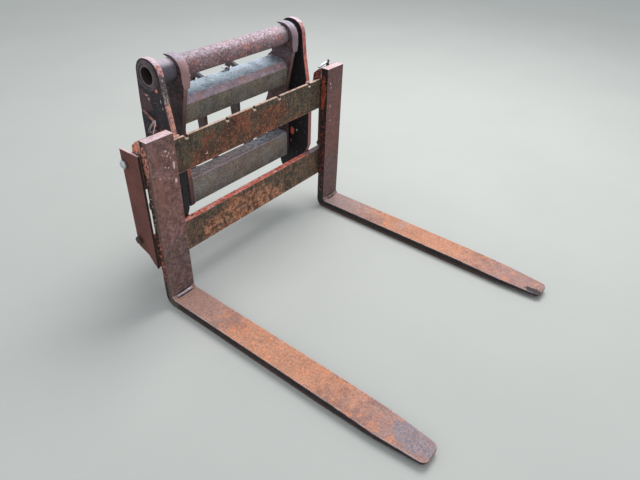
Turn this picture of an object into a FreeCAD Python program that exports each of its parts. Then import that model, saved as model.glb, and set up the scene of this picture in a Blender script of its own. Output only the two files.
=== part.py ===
import FreeCAD, Part
import math
import os

from FreeCAD import Vector

# Pallet fork carriage on the quick hitch carrier of a loader, sizes in mm.
# X runs along the fork bars, the forks point to -Y, Z is up from the floor under the blades.
# While it is drawn, y = 0 is the front face of the fork shanks; see place() for the origin.

# Fork arms
FORK_WIDTH = 120.0
FORK_LENGTH = 1200.0
FORK_TO_END_PLATE = 5.0
FORK_TRAVEL = 42.0
BLADE_THICKNESS = 40.0
SHANK_THICKNESS = 40.0
SHANK_TOP = 758.0
HEEL_OUTER_RADIUS = 42.0
HEEL_STRIP_LEG = 13.0
THINNING_LENGTH = 400.0
TIP_TOP_DROP = 10.0
TIP_THICKNESS = 13.0
TIP_WIDTH = 92.0
TIP_TAPER_LENGTH = 190.0
TIP_CORNER_RADIUS = 26.0

# Fork bars and end plates of the carriage
CARRIAGE_BOTTOM = 196.0
CARRIAGE_HEIGHT = 508.0
BAR_HEIGHT = 142.0
BAR_THICKNESS = 30.0
BAR_LIP = 12.0
BAR_BEVEL_HEIGHT = 22.0
BAR_TO_SHANK = 2.0
NOTCH_WIDTH = 16.0
NOTCH_DEPTH = 11.0
NOTCH_PLACES = (0.0, 158.0, 370.0)
SMALL_HOLE_RADIUS = 6.0
SMALL_HOLE_PLACE = -282.0
SMALL_HOLE_DROP = 103.0
CARRIAGE_WIDTH = 1185.0
END_PLATE_THICKNESS = 10.0
END_PLATE_TOP_DROP = 5.0
END_PLATE_DEPTH = 103.0
END_PLATE_FRONT_BOTTOM = 192.0
END_PLATE_KNEE_DEPTH = 46.0
END_PLATE_KNEE_BOTTOM = 244.0
END_PLATE_KNEE_RADIUS = 25.0
END_PLATE_REAR_BOTTOM = 266.0
END_PLATE_CORNER = 8.0
BOLT_HEAD_FLATS = 30.0
BOLT_HEAD_HEIGHT = 12.5
BOLT_SIZE = 20.0
BOLT_CLEARANCE = 0.05
BOLT_END_PROUD = 6.0
BOLT_HEIGHTS = (641.0, 300.0)
BOLT_EDGE = 17.0

# Fork hooks: the top hook bears on the upper bar, the rest has play
HOOK_BEARING_GAP = 0.3
HOOK_CLEARANCE = 1.5
HOOK_REACH = 52.0
HOOK_GRIP = 30.0
HOOK_NOSE_ROUND = 5.0
HOOK_BACK_LEAN = 6.0
HOOK_SHOULDER_DROP = 34.0
HOOK_SHOULDER_RADIUS = 14.0
HOOK_BROW_REACH = 24.0
HOOK_BROW_DROP = 14.0
HOOK_BROW_RADIUS = 16.0
LOWER_HOOK_WIDTH = 50.0
LOWER_HOOK_DEPTH = 22.0
LOWER_HOOK_NOSE = 11.0
LOWER_HOOK_ROUND = 12.0
LOWER_HOOK_TIP_ROUND = 4.0

# Latch on each top hook
LATCH_PIN_RADIUS = 7.0
LATCH_PIN_CLEARANCE = 0.1
LATCH_PIN_GAP = 6.0
LATCH_PIN_BEHIND_BAR_FACE = 8.0
LATCH_PIN_TOP = 766.0
LATCH_LEVER_RADIUS = 5.0
LATCH_LEVER_LENGTH = 60.0
LATCH_LEVER_DROP = 18.0
LATCH_LEVER_SLANT = 6.0
WIRE_SIZE = 4.0
WIRE_HOLE_DROP = 5.0
WIRE_LOOP_HEIGHT = 48.0
WIRE_LOOP_WIDTH = 32.0
WIRE_FOOT_RADIUS = 5.0
WIRE_LOOP_LEAN = 36.0

# Ears and the tube that the quick hitch picks up
HOOK_TO_EAR = 5.5
EAR_THICKNESS = 24.0
EAR_HEAD_RADIUS = 62.0
EAR_BOTTOM = 190.0
EAR_REAR_CORNER = 60.0
EAR_NOSE = 16.0
EAR_NOSE_CHAMFER = 42.0
EAR_FRONT_KNEE_SHARE = 0.539
EAR_FRONT_KNEE_DEPTH = 20.0
EAR_KNEE_RADIUS = 150.0
EAR_REAR = 242.0
EAR_REAR_KNEE_DROP = 110.0
TUBE_DEPTH = 170.0
TUBE_HEIGHT = 910.0
TUBE_RADIUS = 41.5
TUBE_WALL = 10.0
TUBE_PROUD = 3.0
COLLAR_RADIUS = 53.0
COLLAR_PROUD = 6.0
PAD_THICKNESS = 12.0
PAD_FRONT = 165.0
PAD_REAR = 226.0
PAD_BOTTOM = 250.0
PAD_FRONT_BELOW_TUBE = 169.0
PAD_REAR_BELOW_TUBE = 135.0
PAD_TOP_CORNER = 10.0
PAD_BOTTOM_CORNER = 20.0

# Carrier that hangs on the loader arms, pushed over to the right between the ears
CARRIER_PLAY_LEFT = 76.5
CARRIER_PLAY_RIGHT = 23.5
HOOK_BLOCK_THICKNESS = 40.0
HOOK_BLOCK_TAPER = 30.0
SIDE_PLATE_THICKNESS = 20.0
HOOK_OUTER_RADIUS = 61.0
HOOK_CENTRE_FORWARD = 4.0
HOOK_CENTRE_DROP = 7.0
HOOK_SEAT_CLEARANCE = 0.3
HOOK_MOUTH_ANGLE = 12.0
HOOK_BLOCK_FRONT_DROP = 68.0
HOOK_BLOCK_REAR_DROP = 86.0
HOOK_BLOCK_REAR = 239.0
HOOK_BLOCK_CORNER = 4.0
NECK_SETBACK = 8.0
NECK_WAIST_SETBACK = 13.0
NECK_WAIST_DROP = 18.0
NECK_WAIST_RADIUS = 60.0
SPINE_DEPTH = 30.0
SPINE_TOP_RISE = 10.0
SPINE_TOP_RADIUS = 20.0
SPINE_FOOT_DROP = 60.0
SPINE_FOOT_RADIUS = 120.0
UPPER_BEAM_TILT = 9.0
UPPER_BEAM_FRONT = 143.0
UPPER_BEAM_BELOW_TUBE = 121.0
UPPER_BEAM_HEIGHT = 112.0
UPPER_BEAM_DEPTH = 108.0
UPPER_BEAM_CHAMFER = 24.0
UPPER_BEAM_EDGE_RADIUS = 6.0
UPPER_BEAM_CHAMFER_RADIUS = 8.0
CARRIER_WALL = 5.0
LOWER_BEAM_FRONT = 152.0
LOWER_BEAM_BOTTOM = 313.0
LOWER_BEAM_HEIGHT = 126.0
LOWER_BEAM_DEPTH = 62.0
LOWER_BEAM_BEND_RADIUS = 7.0
SIDE_PLATE_BOTTOM = 300.0
SIDE_PLATE_TOE = 14.0
SIDE_PLATE_HIP = 66.0
ARM_PIVOT_DEPTH = 290.0
ARM_PIVOT_HEIGHT = 372.0
ARM_PIVOT_BORE = 25.0
ARM_PIVOT_BOSS = 52.0
ARM_GAP = 70.0
TILT_PIVOT_DEPTH = 300.0
TILT_PIVOT_HEIGHT = 770.0
TILT_PIVOT_BORE = 20.0
TILT_PIVOT_BOSS = 40.0
ARM_LUG_THICKNESS = 12.0
TILT_GAP = 188.0
TILT_LUG_THICKNESS = 16.0
TILT_LUG_MARGIN = 8.0
TILT_LUG_REACH = 62.0
TILT_LUG_KNEE_SHARE = 0.424
TILT_LUG_KNEE_RADIUS = 60.0
TILT_LUG_FOOT_DEPTH = 30.0
TILT_LUG_FOOT_RADIUS = 12.0

# Lock pins through the ears and the carrier's side plates
LOCK_PIN_RADIUS = 16.0
LOCK_PIN_CLEARANCE = 0.1
LOCK_PIN_DEPTH = 197.0
LOCK_PIN_HEIGHT = 372.0
LOCK_PIN_PAST_PLATE = 9.5
LOCK_PIN_HEAD_RADIUS = 26.0
LOCK_PIN_HEAD_THICKNESS = 10.0
LOCK_PIN_HANDLE_BAR = 8.0
LOCK_PIN_HANDLE_REACH = 48.0
LOCK_PIN_HANDLE_BEND = 18.0
LOCK_PIN_HANDLE_INSET = 2.0
SEAT_GAP = 0.3

# What a cutting shape runs past its piece, and when two points are one
CUT_PAST = 1.0
TOUCHING = 0.001

# Places worked out from the sizes above
BAR_FRONT = SHANK_THICKNESS + BAR_TO_SHANK
BAR_REAR = BAR_FRONT + BAR_THICKNESS
CARRIAGE_TOP = CARRIAGE_BOTTOM + CARRIAGE_HEIGHT
UPPER_BAR_BOTTOM = CARRIAGE_TOP - BAR_HEIGHT
LOWER_BAR_TOP = CARRIAGE_BOTTOM + BAR_HEIGHT
BAR_HALF_LENGTH = CARRIAGE_WIDTH / 2 - END_PLATE_THICKNESS
EAR_FRONT_KNEE = CARRIAGE_TOP + EAR_FRONT_KNEE_SHARE * (TUBE_HEIGHT - CARRIAGE_TOP)
PAD_TOP_FRONT = TUBE_HEIGHT - PAD_FRONT_BELOW_TUBE
PAD_TOP_REAR = TUBE_HEIGHT - PAD_REAR_BELOW_TUBE
HOOK_BLOCK_FRONT_BOTTOM = TUBE_HEIGHT - HOOK_BLOCK_FRONT_DROP
HOOK_BLOCK_REAR_BOTTOM = TUBE_HEIGHT - HOOK_BLOCK_REAR_DROP
UPPER_BEAM_TOP = TUBE_HEIGHT - UPPER_BEAM_BELOW_TUBE
UPPER_BEAM_BOTTOM = UPPER_BEAM_TOP - UPPER_BEAM_HEIGHT
LOWER_BEAM_TOP = LOWER_BEAM_BOTTOM + LOWER_BEAM_HEIGHT
TILT_LUG_KNEE_HEIGHT = LOWER_BEAM_TOP + TILT_LUG_KNEE_SHARE * (UPPER_BEAM_BOTTOM - LOWER_BEAM_TOP)
FORK_CENTRES = CARRIAGE_WIDTH - 2 * END_PLATE_THICKNESS - 2 * FORK_TO_END_PLATE - FORK_WIDTH
EAR_OUTER = (FORK_CENTRES - FORK_WIDTH) / 2 - FORK_TRAVEL - HOOK_TO_EAR
EAR_INNER = EAR_OUTER - EAR_THICKNESS
CARRIER_OFFSET = (CARRIER_PLAY_LEFT - CARRIER_PLAY_RIGHT) / 2
HOOK_PLATE_CENTRES = 2 * EAR_INNER - CARRIER_PLAY_LEFT - CARRIER_PLAY_RIGHT - HOOK_BLOCK_THICKNESS
LOCK_PIN_INNER_END = (HOOK_PLATE_CENTRES - SIDE_PLATE_THICKNESS) / 2 - CARRIER_OFFSET - LOCK_PIN_PAST_PLATE
SIDE_PLATE_REAR = ARM_PIVOT_DEPTH + ARM_PIVOT_BOSS
HOOK_NOSE_REAR = SHANK_THICKNESS + HOOK_REACH
LATCH_DEPTH = BAR_FRONT + LATCH_PIN_BEHIND_BAR_FACE
SIDES = (("left", -1), ("right", 1))
WIRE_LOOP_SIDE = "left"

os.makedirs("parts", exist_ok=True)


def place(shape):
    """Put the origin on the floor under the middle of the whole part's box."""
    middle = (FORK_LENGTH - SIDE_PLATE_REAR) / 2
    return shape.translated(Vector(0, middle, 0))


def write(name, shape):
    """Save one piece at its place as a STEP file of its own."""
    place(shape).exportStep("parts/" + name + ".step")


def side_view(first, second):
    return Vector(0, first, second)


def plan_view(first, second):
    return Vector(first, second, 0)


def front_view(first, second):
    return Vector(first, 0, second)


def outline(corners, view):
    """Join (first, second, radius) corners by straight runs, each corner rounded to its radius.

    Two roundings that would not fit on the run between them are cut down to it.
    """
    count = len(corners)
    points = [view(first, second) for first, second, radius in corners]
    runs = [points[(index + 1) % count] - points[index] for index in range(count)]
    halves = [(-runs[index - 1]).getAngle(runs[index]) / 2 for index in range(count)]
    setbacks = [corner[2] / math.tan(half) for corner, half in zip(corners, halves)]
    taken = [setbacks[index] + setbacks[(index + 1) % count] for index in range(count)]
    room = [min(1, run.Length / max(length, TOUCHING)) for run, length in zip(runs, taken)]
    starts = []
    ends = []
    arcs = []
    for index, here in enumerate(points):
        share = min(room[index - 1], room[index])
        radius = corners[index][2] * share
        back = (-runs[index - 1]).normalize()
        ahead = Vector(runs[index]).normalize()
        starts.append(here + back * setbacks[index] * share)
        ends.append(here + ahead * setbacks[index] * share)
        arc = None
        if radius > 0:
            middle = here + (back + ahead).normalize() * (radius / math.sin(halves[index]) - radius)
            arc = Part.Arc(starts[index], middle, ends[index]).toShape()
        arcs.append(arc)
    run = []
    for index in range(count):
        following = (index + 1) % count
        if arcs[index]:
            run.append(arcs[index])
        if ends[index].distanceToPoint(starts[following]) > TOUCHING:
            run.append(Part.makeLine(ends[index], starts[following]))
    return Part.Wire(run)


def plate(corners, low, high):
    """Cut a side outline from plate that lies between two places along X."""
    face = Part.Face(outline(corners, side_view))
    face.translate(Vector(low, 0, 0))
    return face.extrude(Vector(high - low, 0, 0))


def standing_bar(corners, low, high):
    """Cut an outline seen from the front from plate that lies between two places along Y."""
    face = Part.Face(outline(corners, front_view))
    face.translate(Vector(0, low, 0))
    return face.extrude(Vector(0, high - low, 0))


def rod(start, end, radius):
    """Round bar from one point to another."""
    run = end - start
    return Part.makeCylinder(radius, run.Length, start, run)


def hole_across(low, high, depth, height, radius):
    """Round cutting bar that runs along X through a piece that lies from low to high."""
    return rod(Vector(low - CUT_PAST, depth, height), Vector(high + CUT_PAST, depth, height), radius)


def disc(low, high, depth, height, radius):
    return rod(Vector(low, depth, height), Vector(high, depth, height), radius)


def span(side, first, last):
    """Low and high place along X of what lies between two distances from the middle."""
    return tuple(sorted((side * first, side * last)))


# Fork arm: one bent bar, thinned and narrowed towards its tip, its top hook and its bottom hook

def fork_arm(centre):
    tip_top = BLADE_THICKNESS - TIP_TOP_DROP
    tip_bottom = tip_top - TIP_THICKNESS
    thin_from = THINNING_LENGTH - FORK_LENGTH
    half = FORK_WIDTH / 2
    bar = plate((
        (0, SHANK_TOP, 0),
        (0, BLADE_THICKNESS + HEEL_STRIP_LEG, 0),
        (-HEEL_STRIP_LEG, BLADE_THICKNESS, 0),
        (thin_from, BLADE_THICKNESS, 0),
        (-FORK_LENGTH, tip_top, TIP_THICKNESS / 3),
        (-FORK_LENGTH, tip_bottom, TIP_THICKNESS / 3),
        (thin_from, 0, 0),
        (SHANK_THICKNESS, 0, HEEL_OUTER_RADIUS),
        (SHANK_THICKNESS, SHANK_TOP, 0),
    ), centre - half, centre + half)
    taper_from = TIP_TAPER_LENGTH - FORK_LENGTH
    narrowed = outline((
        (centre - half, SHANK_THICKNESS, 0),
        (centre - half, taper_from, 0),
        (centre - TIP_WIDTH / 2, -FORK_LENGTH, TIP_CORNER_RADIUS),
        (centre + TIP_WIDTH / 2, -FORK_LENGTH, TIP_CORNER_RADIUS),
        (centre + half, taper_from, 0),
        (centre + half, SHANK_THICKNESS, 0),
    ), plan_view)
    return bar.common(Part.Face(narrowed).extrude(Vector(0, 0, SHANK_TOP)))


def top_hook(centre):
    inner_rear = BAR_REAR + HOOK_CLEARANCE
    seat = CARRIAGE_TOP + HOOK_BEARING_GAP
    nose = CARRIAGE_TOP - HOOK_GRIP
    half = FORK_WIDTH / 2
    hook = plate((
        (SHANK_THICKNESS, SHANK_TOP, 0),
        (SHANK_THICKNESS, seat, 0),
        (BAR_FRONT + BAR_LIP + HOOK_CLEARANCE, seat, 0),
        (inner_rear, CARRIAGE_TOP - BAR_BEVEL_HEIGHT, 0),
        (inner_rear, nose, 0),
        (HOOK_NOSE_REAR, nose, HOOK_NOSE_ROUND),
        (HOOK_NOSE_REAR - HOOK_BACK_LEAN, SHANK_TOP - HOOK_SHOULDER_DROP, HOOK_SHOULDER_RADIUS),
        (SHANK_THICKNESS + HOOK_BROW_REACH, SHANK_TOP - HOOK_BROW_DROP, HOOK_BROW_RADIUS),
    ), centre - half, centre + half)
    bore_foot = Vector(centre, LATCH_DEPTH, seat - CUT_PAST)
    bore_head = Vector(centre, LATCH_DEPTH, SHANK_TOP + CUT_PAST)
    return hook.cut(rod(bore_foot, bore_head, LATCH_PIN_RADIUS + LATCH_PIN_CLEARANCE))


def bottom_hook(centre):
    inner_rear = BAR_REAR + HOOK_CLEARANCE
    seat = CARRIAGE_BOTTOM - HOOK_CLEARANCE
    base = seat - LOWER_HOOK_DEPTH
    nose_rear = inner_rear + LOWER_HOOK_NOSE
    half = LOWER_HOOK_WIDTH / 2
    return plate((
        (SHANK_THICKNESS, seat, 0),
        (SHANK_THICKNESS, base, 0),
        (nose_rear, base, LOWER_HOOK_ROUND),
        (nose_rear, CARRIAGE_BOTTOM + HOOK_GRIP, LOWER_HOOK_TIP_ROUND),
        (inner_rear, CARRIAGE_BOTTOM + HOOK_GRIP, 0),
        (inner_rear, CARRIAGE_BOTTOM + BAR_BEVEL_HEIGHT, 0),
        (BAR_FRONT + BAR_LIP + HOOK_CLEARANCE, seat, 0),
    ), centre - half, centre + half)


# Latch pin, drawn up out of its notch, with what it is pulled by

def latch_pin(centre, with_wire_hole):
    foot = Vector(centre, LATCH_DEPTH, CARRIAGE_TOP + LATCH_PIN_GAP)
    head = Vector(centre, LATCH_DEPTH, LATCH_PIN_TOP)
    pin = rod(foot, head, LATCH_PIN_RADIUS)
    if with_wire_hole:
        reach = Vector(0, LATCH_PIN_RADIUS + CUT_PAST, 0)
        hole = Vector(centre, LATCH_DEPTH, LATCH_PIN_TOP - WIRE_HOLE_DROP)
        pin = pin.cut(rod(hole - reach, hole + reach, WIRE_SIZE / math.sqrt(2) + LATCH_PIN_CLEARANCE))
    return pin


def latch_lever(centre):
    slope = LATCH_LEVER_DROP / LATCH_LEVER_LENGTH
    seat = LATCH_PIN_TOP + SEAT_GAP + slope * LATCH_PIN_RADIUS
    high = Vector(centre, LATCH_DEPTH, seat + LATCH_LEVER_RADIUS * math.hypot(1, slope))
    low = high + Vector(-LATCH_LEVER_LENGTH, LATCH_LEVER_SLANT, -LATCH_LEVER_DROP)
    past = (high - low).normalize() * LATCH_PIN_RADIUS
    return rod(high + past, low, LATCH_LEVER_RADIUS)


def wire_loop(centre):
    """Closed loop of square wire through the pin's head, fallen to one side."""
    hole_height = LATCH_PIN_TOP - WIRE_HOLE_DROP
    half = WIRE_LOOP_WIDTH / 2
    foot = hole_height - WIRE_SIZE / 2
    crown = foot + WIRE_LOOP_HEIGHT
    low = centre - WIRE_SIZE / 2
    outside = plate((
        (LATCH_DEPTH - half, foot, WIRE_FOOT_RADIUS + WIRE_SIZE),
        (LATCH_DEPTH - half, crown, half),
        (LATCH_DEPTH + half, crown, half),
        (LATCH_DEPTH + half, foot, WIRE_FOOT_RADIUS + WIRE_SIZE),
    ), low, low + WIRE_SIZE)
    half -= WIRE_SIZE
    inside = plate((
        (LATCH_DEPTH - half, foot + WIRE_SIZE, WIRE_FOOT_RADIUS),
        (LATCH_DEPTH - half, crown - WIRE_SIZE, half),
        (LATCH_DEPTH + half, crown - WIRE_SIZE, half),
        (LATCH_DEPTH + half, foot + WIRE_SIZE, WIRE_FOOT_RADIUS),
    ), low, low + WIRE_SIZE)
    loop = outside.cut(inside)
    loop.rotate(Vector(centre, LATCH_DEPTH, hole_height), Vector(0, 1, 0), WIRE_LOOP_LEAN)
    return loop


# Fork bars: the upper one notched for the latch pins, both bevelled where the hooks grip

def upper_bar():
    section = (
        (BAR_FRONT, UPPER_BAR_BOTTOM, 0),
        (BAR_REAR, UPPER_BAR_BOTTOM, 0),
        (BAR_REAR, CARRIAGE_TOP - BAR_BEVEL_HEIGHT, 0),
        (BAR_FRONT + BAR_LIP, CARRIAGE_TOP, 0),
        (BAR_FRONT, CARRIAGE_TOP, 0),
    )
    bar = plate(section, -BAR_HALF_LENGTH, BAR_HALF_LENGTH)
    places = {side * place for place in NOTCH_PLACES + (FORK_CENTRES / 2,) for side in (-1, 1)}
    for place_x in sorted(places):
        notch = Part.makeBox(NOTCH_WIDTH, BAR_THICKNESS, NOTCH_DEPTH,
                             Vector(place_x - NOTCH_WIDTH / 2, BAR_FRONT, CARRIAGE_TOP - NOTCH_DEPTH))
        bar = bar.cut(notch)
    hole_height = CARRIAGE_TOP - SMALL_HOLE_DROP
    small_hole = rod(Vector(SMALL_HOLE_PLACE, BAR_FRONT - CUT_PAST, hole_height),
                     Vector(SMALL_HOLE_PLACE, BAR_REAR + CUT_PAST, hole_height), SMALL_HOLE_RADIUS)
    return bar.cut(small_hole)


def lower_bar():
    section = (
        (BAR_FRONT, LOWER_BAR_TOP, 0),
        (BAR_FRONT, CARRIAGE_BOTTOM, 0),
        (BAR_FRONT + BAR_LIP, CARRIAGE_BOTTOM, 0),
        (BAR_REAR, CARRIAGE_BOTTOM + BAR_BEVEL_HEIGHT, 0),
        (BAR_REAR, LOWER_BAR_TOP, 0),
    )
    return plate(section, -BAR_HALF_LENGTH, BAR_HALF_LENGTH)


def bolt_places():
    rear = BAR_FRONT + END_PLATE_DEPTH
    return [(rear - BOLT_EDGE, height) for height in BOLT_HEIGHTS]


def end_plate(side):
    rear = BAR_FRONT + END_PLATE_DEPTH
    low, high = span(side, BAR_HALF_LENGTH, CARRIAGE_WIDTH / 2)
    top = CARRIAGE_TOP - END_PLATE_TOP_DROP
    shape = plate((
        (BAR_FRONT, top, 0),
        (BAR_FRONT, END_PLATE_FRONT_BOTTOM, 0),
        (BAR_FRONT + END_PLATE_KNEE_DEPTH, END_PLATE_KNEE_BOTTOM, END_PLATE_KNEE_RADIUS),
        (rear, END_PLATE_REAR_BOTTOM, END_PLATE_CORNER),
        (rear, top, 0),
    ), low, high)
    for depth, height in bolt_places():
        shape = shape.cut(hole_across(low, high, depth, height, BOLT_SIZE / 2 + BOLT_CLEARANCE))
    return shape


def hexagon(side, depth, height, start, thickness):
    corner = BOLT_HEAD_FLATS / math.sqrt(3)
    points = [Vector(side * start, depth + corner * math.cos(math.radians(60 * turn)),
                     height + corner * math.sin(math.radians(60 * turn))) for turn in range(7)]
    face = Part.Face(Part.makePolygon(points))
    return face.extrude(Vector(side * thickness, 0, 0))


def end_plate_bolts(side):
    """Bolts left in the end plate's rear edge: head outside, nut inside."""
    outer = CARRIAGE_WIDTH / 2
    bolts = []
    for depth, height in bolt_places():
        shank = rod(Vector(side * (BAR_HALF_LENGTH - BOLT_HEAD_HEIGHT - BOLT_END_PROUD), depth, height),
                    Vector(side * outer, depth, height), BOLT_SIZE / 2)
        head = hexagon(side, depth, height, outer, BOLT_HEAD_HEIGHT)
        nut = hexagon(side, depth, height, BAR_HALF_LENGTH - BOLT_HEAD_HEIGHT, BOLT_HEAD_HEIGHT)
        bolts.append(shank.fuse([head, nut]))
    return Part.makeCompound(bolts)


# Ears: thick plates that join the bars to the tube and take the lock pins

def lock_pin_hole(low, high):
    return hole_across(low, high, LOCK_PIN_DEPTH, LOCK_PIN_HEIGHT, LOCK_PIN_RADIUS + LOCK_PIN_CLEARANCE)


def ear(side):
    nose_front = BAR_REAR - EAR_NOSE
    front = TUBE_DEPTH - EAR_HEAD_RADIUS
    low, high = span(side, EAR_INNER, EAR_OUTER)
    outer = plate((
        (BAR_REAR, EAR_BOTTOM, 0),
        (BAR_REAR, LOWER_BAR_TOP, 0),
        (nose_front, LOWER_BAR_TOP + EAR_NOSE_CHAMFER, 0),
        (nose_front, UPPER_BAR_BOTTOM, 0),
        (BAR_REAR, UPPER_BAR_BOTTOM, 0),
        (BAR_REAR, CARRIAGE_TOP, 0),
        (BAR_REAR + EAR_FRONT_KNEE_DEPTH, EAR_FRONT_KNEE, EAR_KNEE_RADIUS),
        (front, TUBE_HEIGHT + EAR_HEAD_RADIUS, EAR_HEAD_RADIUS),
        (TUBE_DEPTH + EAR_HEAD_RADIUS, TUBE_HEIGHT + EAR_HEAD_RADIUS, EAR_HEAD_RADIUS),
        (EAR_REAR, TUBE_HEIGHT - EAR_REAR_KNEE_DROP, EAR_KNEE_RADIUS),
        (EAR_REAR, EAR_BOTTOM, EAR_REAR_CORNER),
    ), low, high)
    tube_hole = hole_across(low, high, TUBE_DEPTH, TUBE_HEIGHT, TUBE_RADIUS)
    return outer.cut([tube_hole, lock_pin_hole(low, high)])


def ear_pad(side):
    """Doubling plate on the ear's outer face round the lock pin, its top edge cut on the slope."""
    low, high = span(side, EAR_OUTER, EAR_OUTER + PAD_THICKNESS)
    pad = plate((
        (PAD_FRONT, PAD_BOTTOM, 0),
        (PAD_FRONT, PAD_TOP_FRONT, PAD_TOP_CORNER),
        (PAD_REAR, PAD_TOP_REAR, PAD_TOP_CORNER),
        (PAD_REAR, PAD_BOTTOM, PAD_BOTTOM_CORNER),
    ), low, high)
    return pad.cut(lock_pin_hole(low, high))


def tube():
    end = EAR_OUTER + TUBE_PROUD
    body = rod(Vector(-end, TUBE_DEPTH, TUBE_HEIGHT), Vector(end, TUBE_DEPTH, TUBE_HEIGHT), TUBE_RADIUS)
    return body.cut(hole_across(-end, end, TUBE_DEPTH, TUBE_HEIGHT, TUBE_RADIUS - TUBE_WALL))


def collar(side):
    """Ring round the tube's end on the outer face of the ear."""
    low, high = span(side, EAR_OUTER, EAR_OUTER + COLLAR_PROUD)
    ring = rod(Vector(low, TUBE_DEPTH, TUBE_HEIGHT), Vector(high, TUBE_DEPTH, TUBE_HEIGHT), COLLAR_RADIUS)
    return ring.cut(hole_across(low, high, TUBE_DEPTH, TUBE_HEIGHT, TUBE_RADIUS))


# Carrier side plate with its open hook for the tube

def hook_block(low, high):
    """Thick block of the hook, its flanks tapered at its foot down to the side plate."""
    centre_y = TUBE_DEPTH - HOOK_CENTRE_FORWARD
    centre_z = TUBE_HEIGHT - HOOK_CENTRE_DROP
    front = centre_y - HOOK_OUTER_RADIUS
    crown = centre_z + HOOK_OUTER_RADIUS
    block = plate((
        (front, HOOK_BLOCK_FRONT_BOTTOM, HOOK_BLOCK_CORNER),
        (front, crown, HOOK_OUTER_RADIUS),
        (centre_y + HOOK_OUTER_RADIUS, crown, HOOK_OUTER_RADIUS),
        (HOOK_BLOCK_REAR, centre_z, 0),
        (HOOK_BLOCK_REAR, HOOK_BLOCK_REAR_BOTTOM, 0),
    ), low, high)
    seat_radius = TUBE_RADIUS + HOOK_SEAT_CLEARANCE
    seat = hole_across(low, high, TUBE_DEPTH, TUBE_HEIGHT, seat_radius)
    mouth = Part.makeBox(high - low + 2 * CUT_PAST, 3 * HOOK_OUTER_RADIUS, 2 * seat_radius,
                         Vector(low - CUT_PAST, TUBE_DEPTH, TUBE_HEIGHT - seat_radius))
    mouth.rotate(Vector(0, TUBE_DEPTH, TUBE_HEIGHT), Vector(1, 0, 0), HOOK_MOUTH_ANGLE)
    middle = (low + high) / 2
    taper_top = HOOK_BLOCK_FRONT_BOTTOM + HOOK_BLOCK_TAPER
    flanks = standing_bar((
        (low, crown, 0),
        (low, taper_top, 0),
        (middle - SIDE_PLATE_THICKNESS / 2, HOOK_BLOCK_REAR_BOTTOM, 0),
        (middle + SIDE_PLATE_THICKNESS / 2, HOOK_BLOCK_REAR_BOTTOM, 0),
        (high, taper_top, 0),
        (high, crown, 0),
    ), front, HOOK_BLOCK_REAR)
    return block.common(flanks).cut([seat, mouth])


def hook_plate(side):
    centre = CARRIER_OFFSET + side * HOOK_PLATE_CENTRES / 2
    block = hook_block(centre - HOOK_BLOCK_THICKNESS / 2, centre + HOOK_BLOCK_THICKNESS / 2)
    neck_front = TUBE_DEPTH - HOOK_CENTRE_FORWARD - HOOK_OUTER_RADIUS + NECK_SETBACK
    waist_height = UPPER_BEAM_BOTTOM - NECK_WAIST_DROP
    spine_foot = UPPER_BEAM_BOTTOM - SPINE_FOOT_DROP
    spine_rear = HOOK_BLOCK_REAR + SPINE_DEPTH
    low = centre - SIDE_PLATE_THICKNESS / 2
    high = centre + SIDE_PLATE_THICKNESS / 2
    body = plate((
        (neck_front, HOOK_BLOCK_FRONT_BOTTOM, 0),
        (UPPER_BEAM_FRONT + NECK_WAIST_SETBACK, waist_height, NECK_WAIST_RADIUS),
        (LOWER_BEAM_FRONT, LOWER_BEAM_BOTTOM, 0),
        (LOWER_BEAM_FRONT + SIDE_PLATE_TOE, SIDE_PLATE_BOTTOM, 0),
        (SIDE_PLATE_REAR, SIDE_PLATE_BOTTOM, ARM_PIVOT_BOSS),
        (SIDE_PLATE_REAR, ARM_PIVOT_HEIGHT + SIDE_PLATE_HIP, ARM_PIVOT_BOSS),
        (spine_rear, spine_foot, SPINE_FOOT_RADIUS),
        (spine_rear, UPPER_BEAM_TOP + SPINE_TOP_RISE, SPINE_TOP_RADIUS),
        (HOOK_BLOCK_REAR, HOOK_BLOCK_REAR_BOTTOM, 0),
    ), low, high)
    boss = disc(low, high, ARM_PIVOT_DEPTH, ARM_PIVOT_HEIGHT, ARM_PIVOT_BOSS)
    pivot = hole_across(low, high, ARM_PIVOT_DEPTH, ARM_PIVOT_HEIGHT, ARM_PIVOT_BORE)
    return body.fuse([block, boss]).cut([pivot, lock_pin_hole(low, high)]).removeSplitter()


def arm_lug(side):
    """Inner plate of the pivot fork that takes a loader arm beside the side plate."""
    face = HOOK_PLATE_CENTRES / 2 - SIDE_PLATE_THICKNESS / 2 - ARM_GAP
    low, high = span(side, face - ARM_LUG_THICKNESS, face)
    low += CARRIER_OFFSET
    high += CARRIER_OFFSET
    front = LOWER_BEAM_FRONT + LOWER_BEAM_DEPTH
    lug = plate((
        (front, LOWER_BEAM_BOTTOM, 0),
        (SIDE_PLATE_REAR, LOWER_BEAM_BOTTOM, ARM_PIVOT_BOSS),
        (SIDE_PLATE_REAR, ARM_PIVOT_HEIGHT + ARM_PIVOT_BOSS, ARM_PIVOT_BOSS),
        (front, LOWER_BEAM_TOP, 0),
    ), low, high)
    boss = disc(low, high, ARM_PIVOT_DEPTH, ARM_PIVOT_HEIGHT, ARM_PIVOT_BOSS)
    pivot = hole_across(low, high, ARM_PIVOT_DEPTH, ARM_PIVOT_HEIGHT, ARM_PIVOT_BORE)
    return lug.fuse(boss).cut(pivot).removeSplitter()


# Carrier cross beams between the side plates

def beam_reach():
    half = HOOK_PLATE_CENTRES / 2 - SIDE_PLATE_THICKNESS / 2
    return CARRIER_OFFSET - half, CARRIER_OFFSET + half


def upper_beam_hinge():
    return Vector(0, UPPER_BEAM_FRONT, UPPER_BEAM_TOP)


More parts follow.
